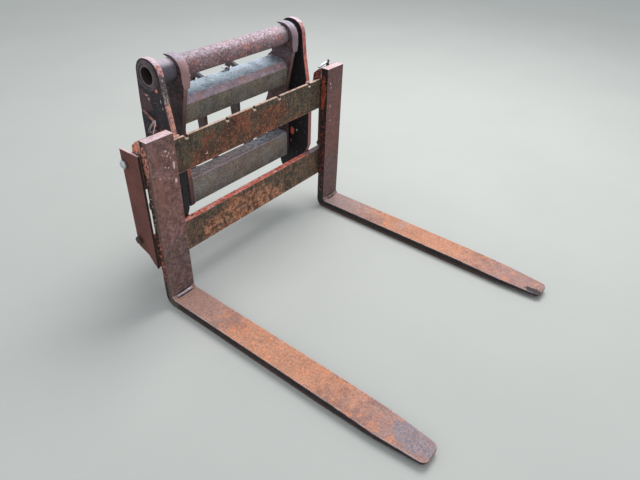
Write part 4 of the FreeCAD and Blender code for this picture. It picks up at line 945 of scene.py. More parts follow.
def bolt_shape(name, outer, inner, place, side):
    """Hex head with a turned top, plain shank, nut and a few threads past the nut, along X."""
    parts = []
    for start, turned in ((outer, side), (inner, -side)):
        deselect()
        bpy.ops.mesh.primitive_cylinder_add(vertices=6, radius=BOLT_CORNER, depth=BOLT_PROUD - BOLT_CROWN)
        hexagon = bpy.context.object
        hexagon.rotation_euler = (0, math.radians(90), 0)
        hexagon.location = (start + turned * (BOLT_PROUD - BOLT_CROWN) / 2, place.y, place.z)
        bpy.ops.object.transform_apply(location=True, rotation=True, scale=True)
        bpy.ops.object.mode_set(mode="EDIT")
        bpy.ops.mesh.select_all(action="DESELECT")
        bpy.ops.object.mode_set(mode="OBJECT")
        for face in hexagon.data.polygons:
            face.select = face.normal.x * turned > 0.9
        bpy.ops.object.mode_set(mode="EDIT")
        bpy.ops.mesh.inset(thickness=0.0022, depth=0.0)
        bpy.ops.transform.translate(value=(turned * BOLT_CROWN, 0, 0))
        bpy.ops.object.mode_set(mode="OBJECT")
        parts.append(hexagon)
    length = abs(outer - inner) + BOLT_PROUD + 0.006
    deselect()
    bpy.ops.mesh.primitive_cylinder_add(vertices=32, radius=THREAD_RADIUS - 0.0006, depth=length)
    shank = bpy.context.object
    shank.rotation_euler = (0, math.radians(90), 0)
    shank.location = (outer - side * length / 2, place.y, place.z)
    parts.append(shank)
    deselect()
    bpy.ops.mesh.primitive_torus_add(major_radius=THREAD_RADIUS - 0.0004, minor_radius=0.0008,
                                     major_segments=28, minor_segments=6)
    thread = bpy.context.object
    rings = thread.modifiers.new("Threads", "ARRAY")
    rings.use_relative_offset = False
    rings.use_constant_offset = True
    rings.constant_offset_displace = (0, 0, THREAD_PITCH)
    rings.count = 2
    bpy.ops.object.modifier_apply(modifier=rings.name)
    thread.rotation_euler = (0, math.radians(-90) * side, 0)
    thread.location = (inner - side * (BOLT_PROUD + 0.0016), place.y, place.z)
    parts.append(thread)
    pick(*parts)
    bpy.ops.object.join()
    bolt = bpy.context.object
    bolt.name = name
    return bolt


PLATE_RUST = plate_rust()
for name, side in SIDES:
    dress(PLATE_RUST, name + "_end_plate")
    ease_edges(0.0014, name + "_end_plate")
    plate_low, plate_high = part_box(name + "_end_plate")
    outer = plate_low.x if side == LEFT else plate_high.x
    inner = plate_high.x if side == LEFT else plate_low.x
    bolt_low, bolt_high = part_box(name + "_end_plate_bolts")
    bolt_y = (bolt_low.y + bolt_high.y) / 2
    for level, height in (("upper", bolt_high.z - 0.015), ("lower", bolt_low.z + 0.015)):
        bolt = bolt_shape(name + "_" + level + "_bolt", outer, inner, Vector((0, bolt_y, height)), side)
        material = PLATED if level == "upper" and side == LEFT else PIN_STEEL
        finish_piece(bolt, material, "carriage", 0.0006, 1)
    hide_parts(name + "_end_plate_bolts")
    beads = []
    for bar_low, bar_high in ((UPPER_BAR_LOW, UPPER_BAR_HIGH), (LOWER_BAR_LOW, LOWER_BAR_HIGH)):
        beads.append(weld_bead((inner, bar_high.y, bar_low.z + 0.004),
                               (inner, bar_high.y, bar_high.z - 0.026),
                               END_PLATE_BEAD))
        for height in (bar_low.z, bar_high.z):
            beads.append(weld_bead((inner, bar_low.y + 0.004, height), (inner, bar_high.y - 0.016, height),
                                   0.003))
    join_beads(name + "_end_plate_welds", beads, PLATE_RUST, "carriage")


# Ears, pads and collars
# Thick plates flame-cut to a knee, welded behind both bars, with a doubling plate round the lock pin's hole.
# A ring is welded round the tube's end. Old red paint is left in flecks on black, and along the front edges.
# Spots where paint is left or chipped on the ears' faces: place, reach, colour
EAR_SPOTS = (
    ((-0.410, 0.560, 0.864), (0.02, 0.008, 0.008), (226, 138, 112)),
    ((-0.410, 0.624, 0.832), (0.02, 0.009, 0.004), (190, 144, 140)),
    ((-0.410, 0.612, 0.820), (0.02, 0.004, 0.005), (204, 176, 172)),
    ((-0.410, 0.541, 0.827), (0.02, 0.0028, 0.0055), (196, 192, 200)),
    ((-0.410, 0.535, 0.801), (0.02, 0.0035, 0.005), (150, 148, 158)),
    ((0.386, 0.588, 0.427), (0.02, 0.012, 0.020), (246, 122, 92)),
    ((0.386, 0.558, 0.440), (0.02, 0.004, 0.005), (206, 200, 204)),
    ((0.386, 0.596, 0.372), (0.02, 0.006, 0.009), (150, 92, 96)),
)
EAR_BEAD = 0.0042
PAD_BEAD = 0.0036
RING_BEAD = 0.0032


def ear_paint():
    material, tree, shader, coords = new_material("Flaked ear paint")
    place = add(tree, "SeparateXYZ", {0: coords}).outputs
    base = rust(tree, coords, (24, 25, 36), (38, 38, 50), (68, 56, 62), 16.0, 0.7)
    old = flakes(tree, coords, base["Color"], (106, 68, 64), (22, 19, 25), 0.27, 82.0)
    colour = old["Color"]
    hidden_side = ramp(tree, place["X"], 0.0, 0.3, 0.0, 0.88)
    colour = mixed(tree, hidden_side, colour, rgb(12, 8, 11))
    low_brown = patch(tree, coords, (-0.41, 0.640, 0.800), (0.03, 0.040, 0.045), 0.5, 30.0)
    colour = mixed(tree, calc(tree, "MULTIPLY", low_brown, 0.6), colour, rgb(96, 64, 66))
    chips = ramp(tree, noise(tree, coords, 105.0, 5.0, 0.7), 0.66, 0.70, 0.0, 0.9)
    colour = mixed(tree, chips, colour, rgb(210, 176, 172))
    colour = grained(tree, coords, colour, 150.0, 0.42)
    for place_chip, reach, paint in EAR_SPOTS:
        spot = patch(tree, coords, place_chip, reach, 0.75, 150.0)
        colour = mixed(tree, spot, colour, rgb(*paint))

    front = facing(tree, (0, -1, 0))
    sloping = facing(tree, (0, -0.6, 0.8))
    top = facing(tree, (0, 0.2, 1))
    uneven = calc(tree, "MULTIPLY", calc(tree, "SUBTRACT", noise(tree, coords, 30.0, 5.0), 0.5), 0.06)
    height_here = calc(tree, "ADD", place["Z"], uneven)
    low_rim = mixed(tree, ramp(tree, noise(tree, coords, 42.0, 5.0, 0.7), 0.42, 0.62), rgb(236, 164, 142),
                    rgb(150, 108, 102))
    grey_rim = mixed(tree, ramp(tree, noise(tree, coords, 60.0, 5.0, 0.7), 0.45, 0.60), rgb(86, 78, 78),
                     rgb(140, 124, 122))
    pink_rim = mixed(tree, ramp(tree, noise(tree, coords, 90.0, 5.0, 0.7), 0.42, 0.60), rgb(210, 158, 156),
                     rgb(160, 96, 92))
    rim = mixed(tree, ramp(tree, height_here, 0.808, 0.832), low_rim, grey_rim)
    rim = mixed(tree, ramp(tree, height_here, 0.918, 0.936), rim, pink_rim)
    rim = mixed(tree, ramp(tree, height_here, 0.946, 0.960), rim, rgb(212, 186, 194))
    rim_pale = ramp(tree, noise(tree, coords, 120.0, 4.0, 0.7), 0.57, 0.64, 0.0, 0.75)
    rim = mixed(tree, rim_pale, rim, rgb(232, 200, 196))
    rim_dark = ramp(tree, noise(tree, coords, 88.0, 5.0, 0.75), 0.55, 0.63, 0.0, 0.8)
    lower_rim = ramp(tree, height_here, 0.955, 0.935)
    rim = mixed(tree, masked(tree, rim_dark, lower_rim), rim, rgb(60, 42, 44))
    right_tone = mixed(tree, ramp(tree, noise(tree, coords, 75.0, 5.0, 0.7), 0.46, 0.58),
                       rgb(216, 112, 102), rgb(126, 62, 62))
    right_share = masked(tree, ramp(tree, place["X"], 0.0, 0.3), ramp(tree, height_here, 0.945, 0.915), 0.75)
    rim = mixed(tree, right_share, rim, right_tone)
    rim = mixed(tree, masked(tree, rim_dark, right_share), rim, rgb(46, 28, 30))
    rim = grained(tree, coords, rim, 150.0, 0.35)
    under_bar = ramp(tree, place["Z"], 0.575, 0.565)
    low_left = mixed(tree, ramp(tree, place["X"], 0.0, 0.3), rgb(26, 22, 26), rgb(164, 112, 110))
    rim = mixed(tree, under_bar, rim, low_left)
    rim_share = calc(tree, "MAXIMUM", calc(tree, "MAXIMUM", front, sloping), top)
    colour = mixed(tree, calc(tree, "MULTIPLY", rim_share, 0.94), colour, rim)
    rubbed = edges(tree, coords, 0.003, 0.55)
    colour = mixed(tree, rubbed, colour, rgb(166, 124, 116))
    height = calc(tree, "ADD", base["Height"], calc(tree, "MULTIPLY", old["Mask"], 0.5))
    surface(tree, shader, colour, base["Roughness"], height, 0.0006)
    return material


def collar_rust():
    material, tree, shader, coords = new_material("Grey-brown ring")
    base = rust(tree, coords, (58, 50, 54), (94, 80, 85), (138, 122, 126), 36.0, 0.6)
    chips = ramp(tree, noise(tree, coords, 95.0, 5.0, 0.7), 0.64, 0.69, 0.0, 0.8)
    colour = mixed(tree, chips, base["Color"], rgb(190, 172, 168))
    colour = mixed(tree, dirt_and_shade(tree, coords, 0.012, 0.9), colour, rgb(20, 16, 19))
    rubbed = edges(tree, coords, 0.002, 0.5)
    colour = mixed(tree, rubbed, colour, rgb(176, 160, 164))
    surface(tree, shader, colour, base["Roughness"], base["Height"], 0.0005)
    return material


def weld_rust():
    material, tree, shader, coords = new_material("Painted weld")
    base = rust(tree, coords, (54, 36, 36), (98, 66, 60), (168, 112, 98), 30.0, 0.7)
    old = flakes(tree, coords, base["Color"], (216, 138, 116), (54, 34, 34), 0.48, 85.0)
    ear_foot = patch(tree, coords, (0, UPPER_BAR_HIGH.y - 0.002, UPPER_BAR_HIGH.z - 0.006),
                     (FAR, 0.012, 0.014), 0.2, 80.0)
    colour = mixed(tree, calc(tree, "MULTIPLY", ear_foot, 0.7), old["Color"], rgb(236, 198, 182))
    surface(tree, shader, grained(tree, coords, colour, 150.0, 0.3), base["Roughness"], base["Height"],
            0.0005)
    return material


EAR_PAINT = ear_paint()
COLLAR_RUST = collar_rust()
WELD_RUST = weld_rust()
TUBE_LOW, TUBE_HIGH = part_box("pickup_tube")
TUBE_CENTRE = (TUBE_LOW + TUBE_HIGH) / 2
TUBE_RADIUS = (TUBE_HIGH.z - TUBE_LOW.z) / 2
for name, side in SIDES:
    dress(EAR_PAINT, name + "_ear", name + "_ear_pad")
    dress(COLLAR_RUST, name + "_tube_collar")
    ease_edges(0.0022, name + "_ear", name + "_ear_pad")
    ease_edges(0.0012, name + "_tube_collar")
    ear_low, ear_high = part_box(name + "_ear")
    pad_low, pad_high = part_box(name + "_ear_pad")
    collar_low, collar_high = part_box(name + "_tube_collar")
    outer = ear_low.x if side == LEFT else ear_high.x
    inner = ear_high.x if side == LEFT else ear_low.x
    bar_rear = UPPER_BAR_HIGH.y
    nose = bar_rear - 0.014
    beads = [
        weld_bead((inner, bar_rear, UPPER_BAR_LOW.z), (inner, bar_rear, UPPER_BAR_HIGH.z - 0.010), EAR_BEAD),
        weld_bead((inner, bar_rear, LOWER_BAR_LOW.z + 0.014), (inner, bar_rear, LOWER_BAR_HIGH.z), EAR_BEAD),
        weld_bead((outer, bar_rear, UPPER_BAR_LOW.z), (outer, bar_rear, UPPER_BAR_LOW.z + 0.100), EAR_BEAD),
        weld_bead((outer, bar_rear, LOWER_BAR_LOW.z + 0.040), (outer, bar_rear, LOWER_BAR_HIGH.z), EAR_BEAD),
        weld_bead((inner, nose, UPPER_BAR_LOW.z), (inner, bar_rear, UPPER_BAR_LOW.z), EAR_BEAD),
        weld_bead((outer, nose, UPPER_BAR_LOW.z), (outer, bar_rear, UPPER_BAR_LOW.z), EAR_BEAD),
        weld_bead((outer - side * 0.006, bar_rear - 0.002, UPPER_BAR_HIGH.z - 0.006),
                  (inner, bar_rear - 0.002, UPPER_BAR_HIGH.z - 0.006), 0.0065),
        weld_bead((outer, pad_low.y, pad_low.z + 0.014), (outer, pad_low.y, pad_high.z - 0.044), PAD_BEAD),
        weld_bead((outer, pad_low.y + 0.006, pad_high.z - 0.031),
                  (outer, pad_high.y - 0.006, pad_high.z - 0.003),
                  PAD_BEAD),
        weld_bead((outer, pad_high.y, pad_low.z + 0.020), (outer, pad_high.y, pad_high.z - 0.010), PAD_BEAD),
        weld_bead((outer, pad_low.y + 0.014, pad_low.z), (outer, pad_high.y - 0.014, pad_low.z), PAD_BEAD),
    ]
    join_beads(name + "_ear_welds", beads, WELD_RUST, "carriage")
    rings = [ring_bead((outer, TUBE_CENTRE.y, TUBE_CENTRE.z), (collar_high.z - collar_low.z) / 2, RING_BEAD),
             ring_bead((inner, TUBE_CENTRE.y, TUBE_CENTRE.z), TUBE_RADIUS, EAR_BEAD)]
    join_beads(name + "_ring_welds", rings, COLLAR_RUST, "carriage")


# Pickup tube
# A thick-walled tube welded through both ears, which hangs in the carrier's hooks.
# Its paint is worn off in patches, most along the top and where the hooks have rubbed, with painted shade on
# its underside and beside the left hook.
def tube_paint():
    material, tree, shader, coords = new_material("Worn tube paint")
    place = add(tree, "SeparateXYZ", {0: coords}).outputs
    around = add(tree, "VectorMath", {0: coords, 1: (0.75, 1.0, 1.0)}, operation="MULTIPLY").outputs[0]
    base = rust(tree, around, (100, 84, 87), (134, 116, 121), (168, 150, 157), 22.0, 0.5)
    old = flakes(tree, around, base["Color"], (184, 130, 128), (118, 92, 96), 0.34, 125.0)
    bright = flakes(tree, around, base["Color"], (200, 124, 116), (130, 92, 92), 0.44, 135.0)
    red_clouds = ramp(tree, noise(tree, around, 13.0, 4.0), 0.48, 0.60, 0.0, 0.7)
    speckled = mixed(tree, red_clouds, old["Color"], bright["Color"])
    rubbed_off = ramp(tree, place["X"], 0.262, 0.290)
    colour = mixed(tree, rubbed_off, speckled, base["Color"])
    pale_chips = ramp(tree, noise(tree, coords, 100.0, 4.0, 0.65), 0.60, 0.66, 0.0, 0.65)
    colour = mixed(tree, pale_chips, colour, rgb(218, 186, 186))
    top = facing(tree, (0, -0.20, 0.86))
    worn = calc(tree, "MULTIPLY", top,
                ramp(tree, noise(tree, around, 60.0, 5.0, 0.7), 0.40, 0.60, 0.25, 0.75))
    colour = mixed(tree, worn, colour, rgb(200, 182, 192))
    dark_chips = ramp(tree, noise(tree, coords, 76.0, 5.0, 0.7), 0.58, 0.64, 0.0, 0.6)
    colour = mixed(tree, dark_chips, colour, rgb(88, 62, 66))
    colour = grained(tree, coords, colour, 115.0, 0.5)
    # Rubbed by the left hook, with a painted shadow of its crown: beside the hook the tube is dark except
    # along its top, which is rubbed pale.
    hook_rub_and_shadow = patch(tree, coords, (-0.348, 0.599, 0.91), (0.042, 0.2, 0.2), 0.4, 14.0)
    colour = mixed(tree, calc(tree, "MULTIPLY", hook_rub_and_shadow, 0.88), colour,
                   mixed(tree, top, rgb(88, 84, 98), rgb(196, 184, 194)))
    rings = ramp(tree, noise(tree, add(tree, "VectorMath", {0: coords, 1: (90.0, 4.0, 4.0)},
                                       operation="MULTIPLY").outputs[0], 1.0, 3.0), 0.60, 0.70, 0.0, 0.4)
    colour = mixed(tree, rings, colour, rgb(84, 60, 60))
    # Painted shade: faces that look down are darkened.
    under = facing(tree, (0, 0, -1))
    colour = mixed(tree, calc(tree, "MULTIPLY", under, 0.45), colour, rgb(78, 60, 58))
    tube_end = calc(tree, "MAXIMUM", facing(tree, (-1, 0, 0)), facing(tree, (1, 0, 0)))
    colour = mixed(tree, tube_end, colour, grained(tree, coords, rgb(112, 98, 98), 150.0, 0.4))
    bore = add(tree, "Math", {0: calc(tree, "POWER", calc(tree, "SUBTRACT", place["Y"], TUBE_CENTRE.y), 2.0),
                              1: calc(tree, "POWER", calc(tree, "SUBTRACT", place["Z"], TUBE_CENTRE.z),
                                      2.0)},
               operation="ADD").outputs[0]
    inside = ramp(tree, calc(tree, "SQRT", bore), 0.0335, 0.0325)
    colour = mixed(tree, inside, colour, rgb(48, 34, 30))
    height = calc(tree, "ADD", base["Height"], calc(tree, "MULTIPLY", old["Mask"], 0.4))
    surface(tree, shader, colour, base["Roughness"], height, 0.0005)
    return material


dress(tube_paint(), "pickup_tube")
ease_edges(0.0012, "pickup_tube")


# Carrier side plates
# Each is cut from plate, with a thicker block for the open hook at its top that takes the tube.
# They are smooth and dark brown, rubbed paler along the rim of the hook.
BLOCK_FOOT_FRONT = Vector((0, 0.546, 0.841))
BLOCK_FOOT_REAR = Vector((0, 0.664, 0.8245))
SIDE_PLATE_HALF = 0.010
SIDE_PLATE_X = {"left": -0.2895, "right": 0.3425}
CARRIER_BEAD = 0.0042


def side_plate_rust():
    material, tree, shader, coords = new_material("Smooth dark rust")
    place = add(tree, "SeparateXYZ", {0: coords}).outputs
    base = rust(tree, coords, (62, 48, 50), (96, 74, 77), (128, 102, 104), 16.0, 0.6)
    brown_cloud = ramp(tree, noise(tree, coords, 22.0, 6.0, 0.7), 0.48, 0.62, 0.0, 0.7)
    colour = mixed(tree, brown_cloud, base["Color"], rgb(122, 84, 78))
    colour = grained(tree, coords, colour, 95.0, 0.5)
    ash = ramp(tree, noise(tree, coords, 8.0, 6.0, 0.65), 0.52, 0.68, 0.0, 0.6)
    colour = mixed(tree, ash, colour, rgb(108, 104, 116))
    front = calc(tree, "MAXIMUM", facing(tree, (0, -1, 0)), facing(tree, (0, -0.6, 0.8)))
    neck = ramp(tree, place["Z"], 0.80, 0.86)
    neck_colour = mixed(tree, ramp(tree, place["X"], 0.0, 0.3), rgb(170, 132, 130), rgb(148, 126, 134))
    front_colour = mixed(tree, neck, rgb(122, 90, 84), neck_colour)
    colour = mixed(tree, calc(tree, "MULTIPLY", front, 0.75), colour, front_colour)
    uneven = calc(tree, "MULTIPLY", calc(tree, "SUBTRACT", noise(tree, coords, 45.0, 5.0), 0.5), 0.05)
    near_top = ramp(tree, calc(tree, "ADD", place["Z"], uneven), 0.922, 0.962, 0.35, 1.0)
    crown = facing(tree, (0, 0, 1))
    crown_colour = grained(tree, coords, rgb(164, 156, 170), 120.0, 0.4)
    colour = mixed(tree, masked(tree, crown, near_top, 0.85), colour, crown_colour)
    rubbed = edges(tree, coords, 0.003, 0.55)
    colour = mixed(tree, rubbed, colour, rgb(160, 136, 134))
    flare = patch(tree, coords, (SIDE_PLATE_X["left"], 0.57, 0.475), (0.02, 0.05, 0.036), 0.6, 45.0)
    flare_specks = ramp(tree, noise(tree, coords, 90.0, 4.0, 0.7), 0.48, 0.56)
    flare_share = masked(tree, flare, flare_specks, facing(tree, (0, -1, 0)))
    colour = mixed(tree, flare_share, colour, rgb(236, 146, 116))
    shaded = masked(tree, ramp(tree, place["X"], 0.0, 0.3), ramp(tree, place["Z"], 0.60, 0.54), 0.8)
    colour = mixed(tree, shaded, colour, rgb(40, 24, 27))
    red_specks = ramp(tree, noise(tree, coords, 90.0, 4.0, 0.7), 0.57, 0.64, 0.0, 0.7)
    colour = mixed(tree, masked(tree, shaded, red_specks), colour, rgb(134, 76, 74))
    colour = mixed(tree, dirt_and_shade(tree, coords, 0.02, 0.6), colour, rgb(30, 24, 24))
    surface(tree, shader, colour, base["Roughness"], base["Height"], 0.0004)
    return material


SIDE_PLATE_RUST = side_plate_rust()
for name, side in SIDES:
    dress(SIDE_PLATE_RUST, name + "_carrier_hook_plate")
    ease_edges(0.002, name + "_carrier_hook_plate")
    beads = []
    for face in (-SIDE_PLATE_HALF, SIDE_PLATE_HALF):
        across_x = Vector((SIDE_PLATE_X[name] + face, 0, 0))
        beads.append(weld_bead(BLOCK_FOOT_FRONT + across_x, BLOCK_FOOT_REAR + across_x, CARRIER_BEAD))
    join_beads(name + "_hook_block_welds", beads, SIDE_PLATE_RUST, "carriage")


# Carrier beams
# The upper one is a box folded from plate, set on the slope, the lower one a channel with its web in front.
# Both are grey, scratched bare on top, with rust coming through along the chamfer and the lower edges.
BEAM_TILT = math.radians(9.0)
BEAM_HINGE = Vector((0, 0.572, 0.789))
BEAM_ENDS = (-0.2795, 0.3325)


def beam_paint():
    material, tree, shader, coords = new_material("Scratched grey paint")
    place = add(tree, "SeparateXYZ", {0: coords}).outputs
    top = facing(tree, (0, 0.0, 1))
    slope = facing(tree, (0, -0.6, 0.8))
    upper = ramp(tree, place["Z"], 0.50, 0.54)
    grey = rust(tree, coords, (112, 108, 104), (146, 140, 134), (176, 168, 160), 12.0, 0.45)
    brown = rust(tree, coords, (88, 68, 60), (130, 104, 94), (164, 136, 122), 16.0, 0.6)
    olive = rust(tree, coords, (108, 98, 84), (144, 132, 116), (172, 160, 142), 11.0, 0.5)
    cloud = noise(tree, coords, 8.0, 6.0, 0.7, 0.6)
    front = mixed(tree, ramp(tree, cloud, 0.40, 0.58), grey["Color"], olive["Color"])
    low = mixed(tree, ramp(tree, cloud, 0.48, 0.60, 0.0, 0.5), front, brown["Color"])
    colour = mixed(tree, upper, low, front)
    runs = add(tree, "VectorMath", {0: coords, 1: (75.0, 75.0, 9.0)}, operation="MULTIPLY").outputs[0]
    run_marks = ramp(tree, noise(tree, runs, 1.0, 5.0, 0.65), 0.56, 0.68, 0.0, 0.28)
    colour = mixed(tree, run_marks, colour, rgb(62, 52, 48))
    specks = ramp(tree, noise(tree, coords, 105.0, 4.0, 0.7), 0.61, 0.68, 0.0, 0.7)
    colour = mixed(tree, specks, colour, rgb(44, 34, 34))
    colour = grained(tree, coords, colour, 130.0, 0.4)
    violet = mixed(tree, ramp(tree, noise(tree, coords, 30.0, 5.0), 0.4, 0.6), rgb(170, 148, 160),
                   rgb(138, 116, 124))
    pink_cloud = ramp(tree, noise(tree, coords, 9.0, 4.0), 0.48, 0.60, 0.0, 0.7)
    violet = mixed(tree, pink_cloud, violet, rgb(176, 130, 126))
    white_chips = ramp(tree, noise(tree, coords, 120.0, 3.0, 0.6), 0.64, 0.69, 0.0, 0.7)
    violet = grained(tree, coords, mixed(tree, white_chips, violet, rgb(222, 212, 220)), 120.0, 0.3)
    colour = mixed(tree, calc(tree, "MULTIPLY", slope, 0.92), colour, violet)
    bare = mixed(tree, ramp(tree, noise(tree, coords, 12.0, 5.0), 0.35, 0.65), rgb(188, 202, 214),
                 rgb(160, 172, 184))
    bare = mixed(tree, ramp(tree, noise(tree, coords, 26.0, 5.0, 0.7), 0.54, 0.68, 0.0, 0.3), bare,
                 rgb(178, 162, 170))
    for stretch, amount in (((60.0, 250.0, 40.0), 0.35), ((260.0, 55.0, 40.0), 0.7),
                            ((170.0, 60.0, 40.0), 0.6)):
        drag = scratches(tree, coords, stretch, 0.06, amount)
        bare = mixed(tree, drag, bare, rgb(72, 78, 88))
    for turned in ((190.0, 52.0, 40.0), (60.0, 150.0, 40.0)):
        stroke_place = add(tree, "VectorMath", {0: coords, 1: turned}, operation="MULTIPLY").outputs[0]
        stroke = ramp(tree, noise(tree, stroke_place, 1.0, 2.0, 0.5), 0.62, 0.67, 0.0, 0.8)
        bare = mixed(tree, stroke, bare, rgb(74, 78, 88))
    dents = ramp(tree, noise(tree, coords, 70.0, 3.0, 0.6), 0.62, 0.67, 0.0, 0.7)
    bare = mixed(tree, dents, bare, rgb(78, 78, 86))
    lower_tone = mixed(tree, ramp(tree, place["X"], 0.0, 0.2), rgb(150, 134, 132), rgb(148, 154, 162))
    lower_bare = mixed(tree, ramp(tree, noise(tree, coords, 50.0, 5.0, 0.7), 0.4, 0.6), lower_tone,
                       rgb(108, 98, 102))
    # Painted shade: the bare top darkens towards its right end.
    bare = mixed(tree, ramp(tree, place["X"], 0.24, 0.32, 0.0, 0.55), bare, rgb(76, 74, 84))
    bare = mixed(tree, upper, lower_bare, bare)
    colour = mixed(tree, top, colour, grained(tree, coords, bare, 150.0, 0.15))
    rubbed = edges(tree, coords, 0.003, 0.6)
    colour = mixed(tree, rubbed, colour, rgb(200, 190, 194))
    colour = mixed(tree, dirt_and_shade(tree, coords, 0.02, 0.6), colour, rgb(36, 30, 30))
    surface(tree, shader, colour, grey["Roughness"], grey["Height"], 0.0004)
    return material


def on_upper_beam(x, depth, drop):
    """Place on the sloping beam, by its depth behind the front edge and its drop below the top edge."""
    return Vector((x,
                   BEAM_HINGE.y + depth * math.cos(BEAM_TILT) + drop * math.sin(BEAM_TILT),
                   BEAM_HINGE.z + depth * math.sin(BEAM_TILT) - drop * math.cos(BEAM_TILT)))


BEAM_PAINT = beam_paint()
dress(BEAM_PAINT, "carrier_upper_beam", "carrier_lower_beam")
LOW_BEAM_LOW, LOW_BEAM_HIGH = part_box("carrier_lower_beam")
beads = []
for x in BEAM_ENDS:
    beads += [
        weld_bead(on_upper_beam(x, 0, 0.108), on_upper_beam(x, 0, 0.028), CARRIER_BEAD),
        weld_bead(on_upper_beam(x, 0.002, 0.022), on_upper_beam(x, 0.022, 0.002), CARRIER_BEAD),
        weld_bead(on_upper_beam(x, 0.028, 0), on_upper_beam(x, 0.102, 0), CARRIER_BEAD),
        weld_bead(on_upper_beam(x, 0.108, 0.008), on_upper_beam(x, 0.108, 0.104), CARRIER_BEAD),
        weld_bead((x, LOW_BEAM_LOW.y + 0.001, LOW_BEAM_LOW.z + 0.006),
                  (x, LOW_BEAM_LOW.y + 0.001, LOW_BEAM_HIGH.z - 0.006), 0.0035),
        weld_bead((x, LOW_BEAM_LOW.y + 0.008, LOW_BEAM_HIGH.z), (x, LOW_BEAM_HIGH.y, LOW_BEAM_HIGH.z),
                  0.0035),
    ]
join_beads("carrier_beam_welds", beads, BEAM_PAINT, "carriage")


# Bent strip on the upper beam
# A strip of flat steel, bent to an open hook and tacked at one end to the upper beam's rear top edge.
# It has the grey paint of the beams, gone pinkish with rust.
HOOK_STRIP_WIDTH = 0.015
HOOK_STRIP_THICKNESS = 0.003
HOOK_STRIP_FOOT = on_upper_beam(0.054, 0.098, 0.0)
HOOK_STRIP_REACH = 0.017
HOOK_STRIP_CURL = 0.026
HOOK_STRIP_TURN = math.radians(108)
HOOK_CURL_TURN = math.radians(34)


def hook_strip_paint():
    material, tree, shader, coords = new_material("Pinkish grey strip")
    base = rust(tree, coords, (176, 164, 170), (214, 204, 212), (232, 224, 232), 40.0, 0.6)
    colour = mixed(tree, edges(tree, coords, 0.002, 0.7), base["Color"], rgb(226, 214, 216))
    surface(tree, shader, grained(tree, coords, colour, 150.0, 0.25), base["Roughness"], base["Height"],
            0.0004)
    return material


deselect()
bpy.ops.mesh.primitive_plane_add(size=1.0)
bent_strip = bpy.context.object
bent_strip.name = "bent_strip"
bent_strip.scale = (HOOK_STRIP_THICKNESS, HOOK_STRIP_WIDTH, 1.0)
bent_strip.location = HOOK_STRIP_FOOT - Vector((0, 0, 0.001))
bpy.ops.object.transform_apply(location=True, rotation=True, scale=True)
bow_centre = HOOK_STRIP_FOOT - Vector((HOOK_STRIP_REACH, 0, 0.001))
outward = Vector((math.cos(HOOK_STRIP_TURN), 0, math.sin(HOOK_STRIP_TURN)))
curl_centre = bow_centre + outward * (HOOK_STRIP_REACH + HOOK_STRIP_CURL)
bpy.ops.object.mode_set(mode="EDIT")
bpy.ops.mesh.select_all(action="SELECT")
bpy.ops.mesh.spin(steps=14, angle=HOOK_STRIP_TURN, center=bow_centre, axis=(0, 1, 0))
bpy.ops.mesh.spin(steps=10, angle=HOOK_CURL_TURN, center=curl_centre, axis=(0, -1, 0))
bpy.ops.mesh.select_all(action="SELECT")
bpy.ops.mesh.normals_make_consistent(inside=False)
bpy.ops.object.mode_set(mode="OBJECT")
HOOK_STRIP_PAINT = hook_strip_paint()
finish_piece(bent_strip, HOOK_STRIP_PAINT, "carriage", 0.0006)
foot_bead = weld_bead(HOOK_STRIP_FOOT + Vector((0.002, -0.004, 0.0005)),
                      HOOK_STRIP_FOOT + Vector((0.002, 0.004, 0.0005)),
                      0.002)
join_beads("bent_strip_weld", [foot_bead], HOOK_STRIP_PAINT, "carriage")


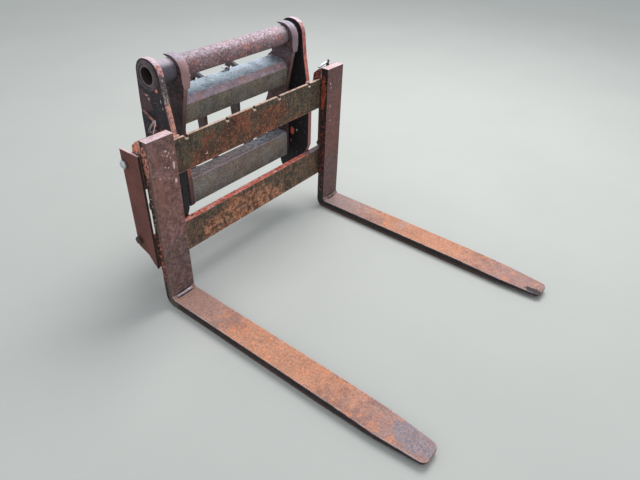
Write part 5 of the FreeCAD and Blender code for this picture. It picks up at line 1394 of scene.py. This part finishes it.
# Lugs behind the beams
# Two tall plates have their bore at the top, and two more stand beside the side plates, with a lower bore.
# All are welded across the beams' rear, and are grey with clouds of brown rust.
def lug_paint():
    material, tree, shader, coords = new_material("Grey lug paint")
    grey = rust(tree, coords, (78, 78, 84), (98, 98, 106), (122, 120, 128), 9.0, 0.4)
    brown = rust(tree, coords, (62, 44, 38), (96, 68, 56), (128, 92, 74), 16.0, 0.6)
    cloud = noise(tree, coords, 9.0, 6.0, 0.7, 0.6)
    colour = mixed(tree, ramp(tree, cloud, 0.44, 0.58, 0.0, 0.85), grey["Color"], brown["Color"])
    rubbed = edges(tree, coords, 0.0035, 0.75)
    colour = mixed(tree, rubbed, colour, rgb(158, 142, 138))
    colour = mixed(tree, dirt_and_shade(tree, coords, 0.02, 0.6), colour, rgb(34, 28, 28))
    surface(tree, shader, colour, grey["Roughness"], grey["Height"], 0.0004)
    return material


LUG_PAINT = lug_paint()
for name, side in SIDES:
    dress(LUG_PAINT, name + "_tilt_lug", name + "_arm_lug")
    ease_edges(0.002, name + "_tilt_lug", name + "_arm_lug")
    lug_low, lug_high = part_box(name + "_tilt_lug")
    arm_low, arm_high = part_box(name + "_arm_lug")
    beads = []
    for x in (lug_low.x, lug_high.x):
        beads.append(weld_bead(on_upper_beam(x, 0.108, 0.012), on_upper_beam(x, 0.108, 0.106), CARRIER_BEAD))
    for x in (lug_low.x, lug_high.x, arm_low.x, arm_high.x):
        for height in (LOW_BEAM_LOW.z, LOW_BEAM_HIGH.z - 0.006):
            beads.append(weld_bead((x, LOW_BEAM_HIGH.y, height), (x, LOW_BEAM_HIGH.y, height + 0.006),
                                   0.003))
    join_beads(name + "_lug_welds", beads, LUG_PAINT, "carriage")


# Lock pins
# Turned steel pins with a head and a bow of flat bar, pushed in from outside through ear, pad and side
# plate.
# They are bare and rusted, and rubbed bright at the handle.
dress(PIN_STEEL, "left_lock_pin", "right_lock_pin", "left_lock_pin_handle", "right_lock_pin_handle")
for name, side in SIDES:
    ease_edges(0.0015, name + "_lock_pin", name + "_lock_pin_handle")
    bow_low, bow_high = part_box(name + "_lock_pin_handle")
    head = bow_high.x if side == LEFT else bow_low.x
    beads = []
    for height in (bow_low.z + 0.004, bow_high.z - 0.004):
        for depth in (bow_low.y, bow_high.y):
            beads.append(weld_bead((head, depth, height - 0.003), (head, depth, height + 0.003), 0.0025))
    join_beads(name + "_lock_pin_welds", beads, PIN_STEEL, name + "_lock_pin")
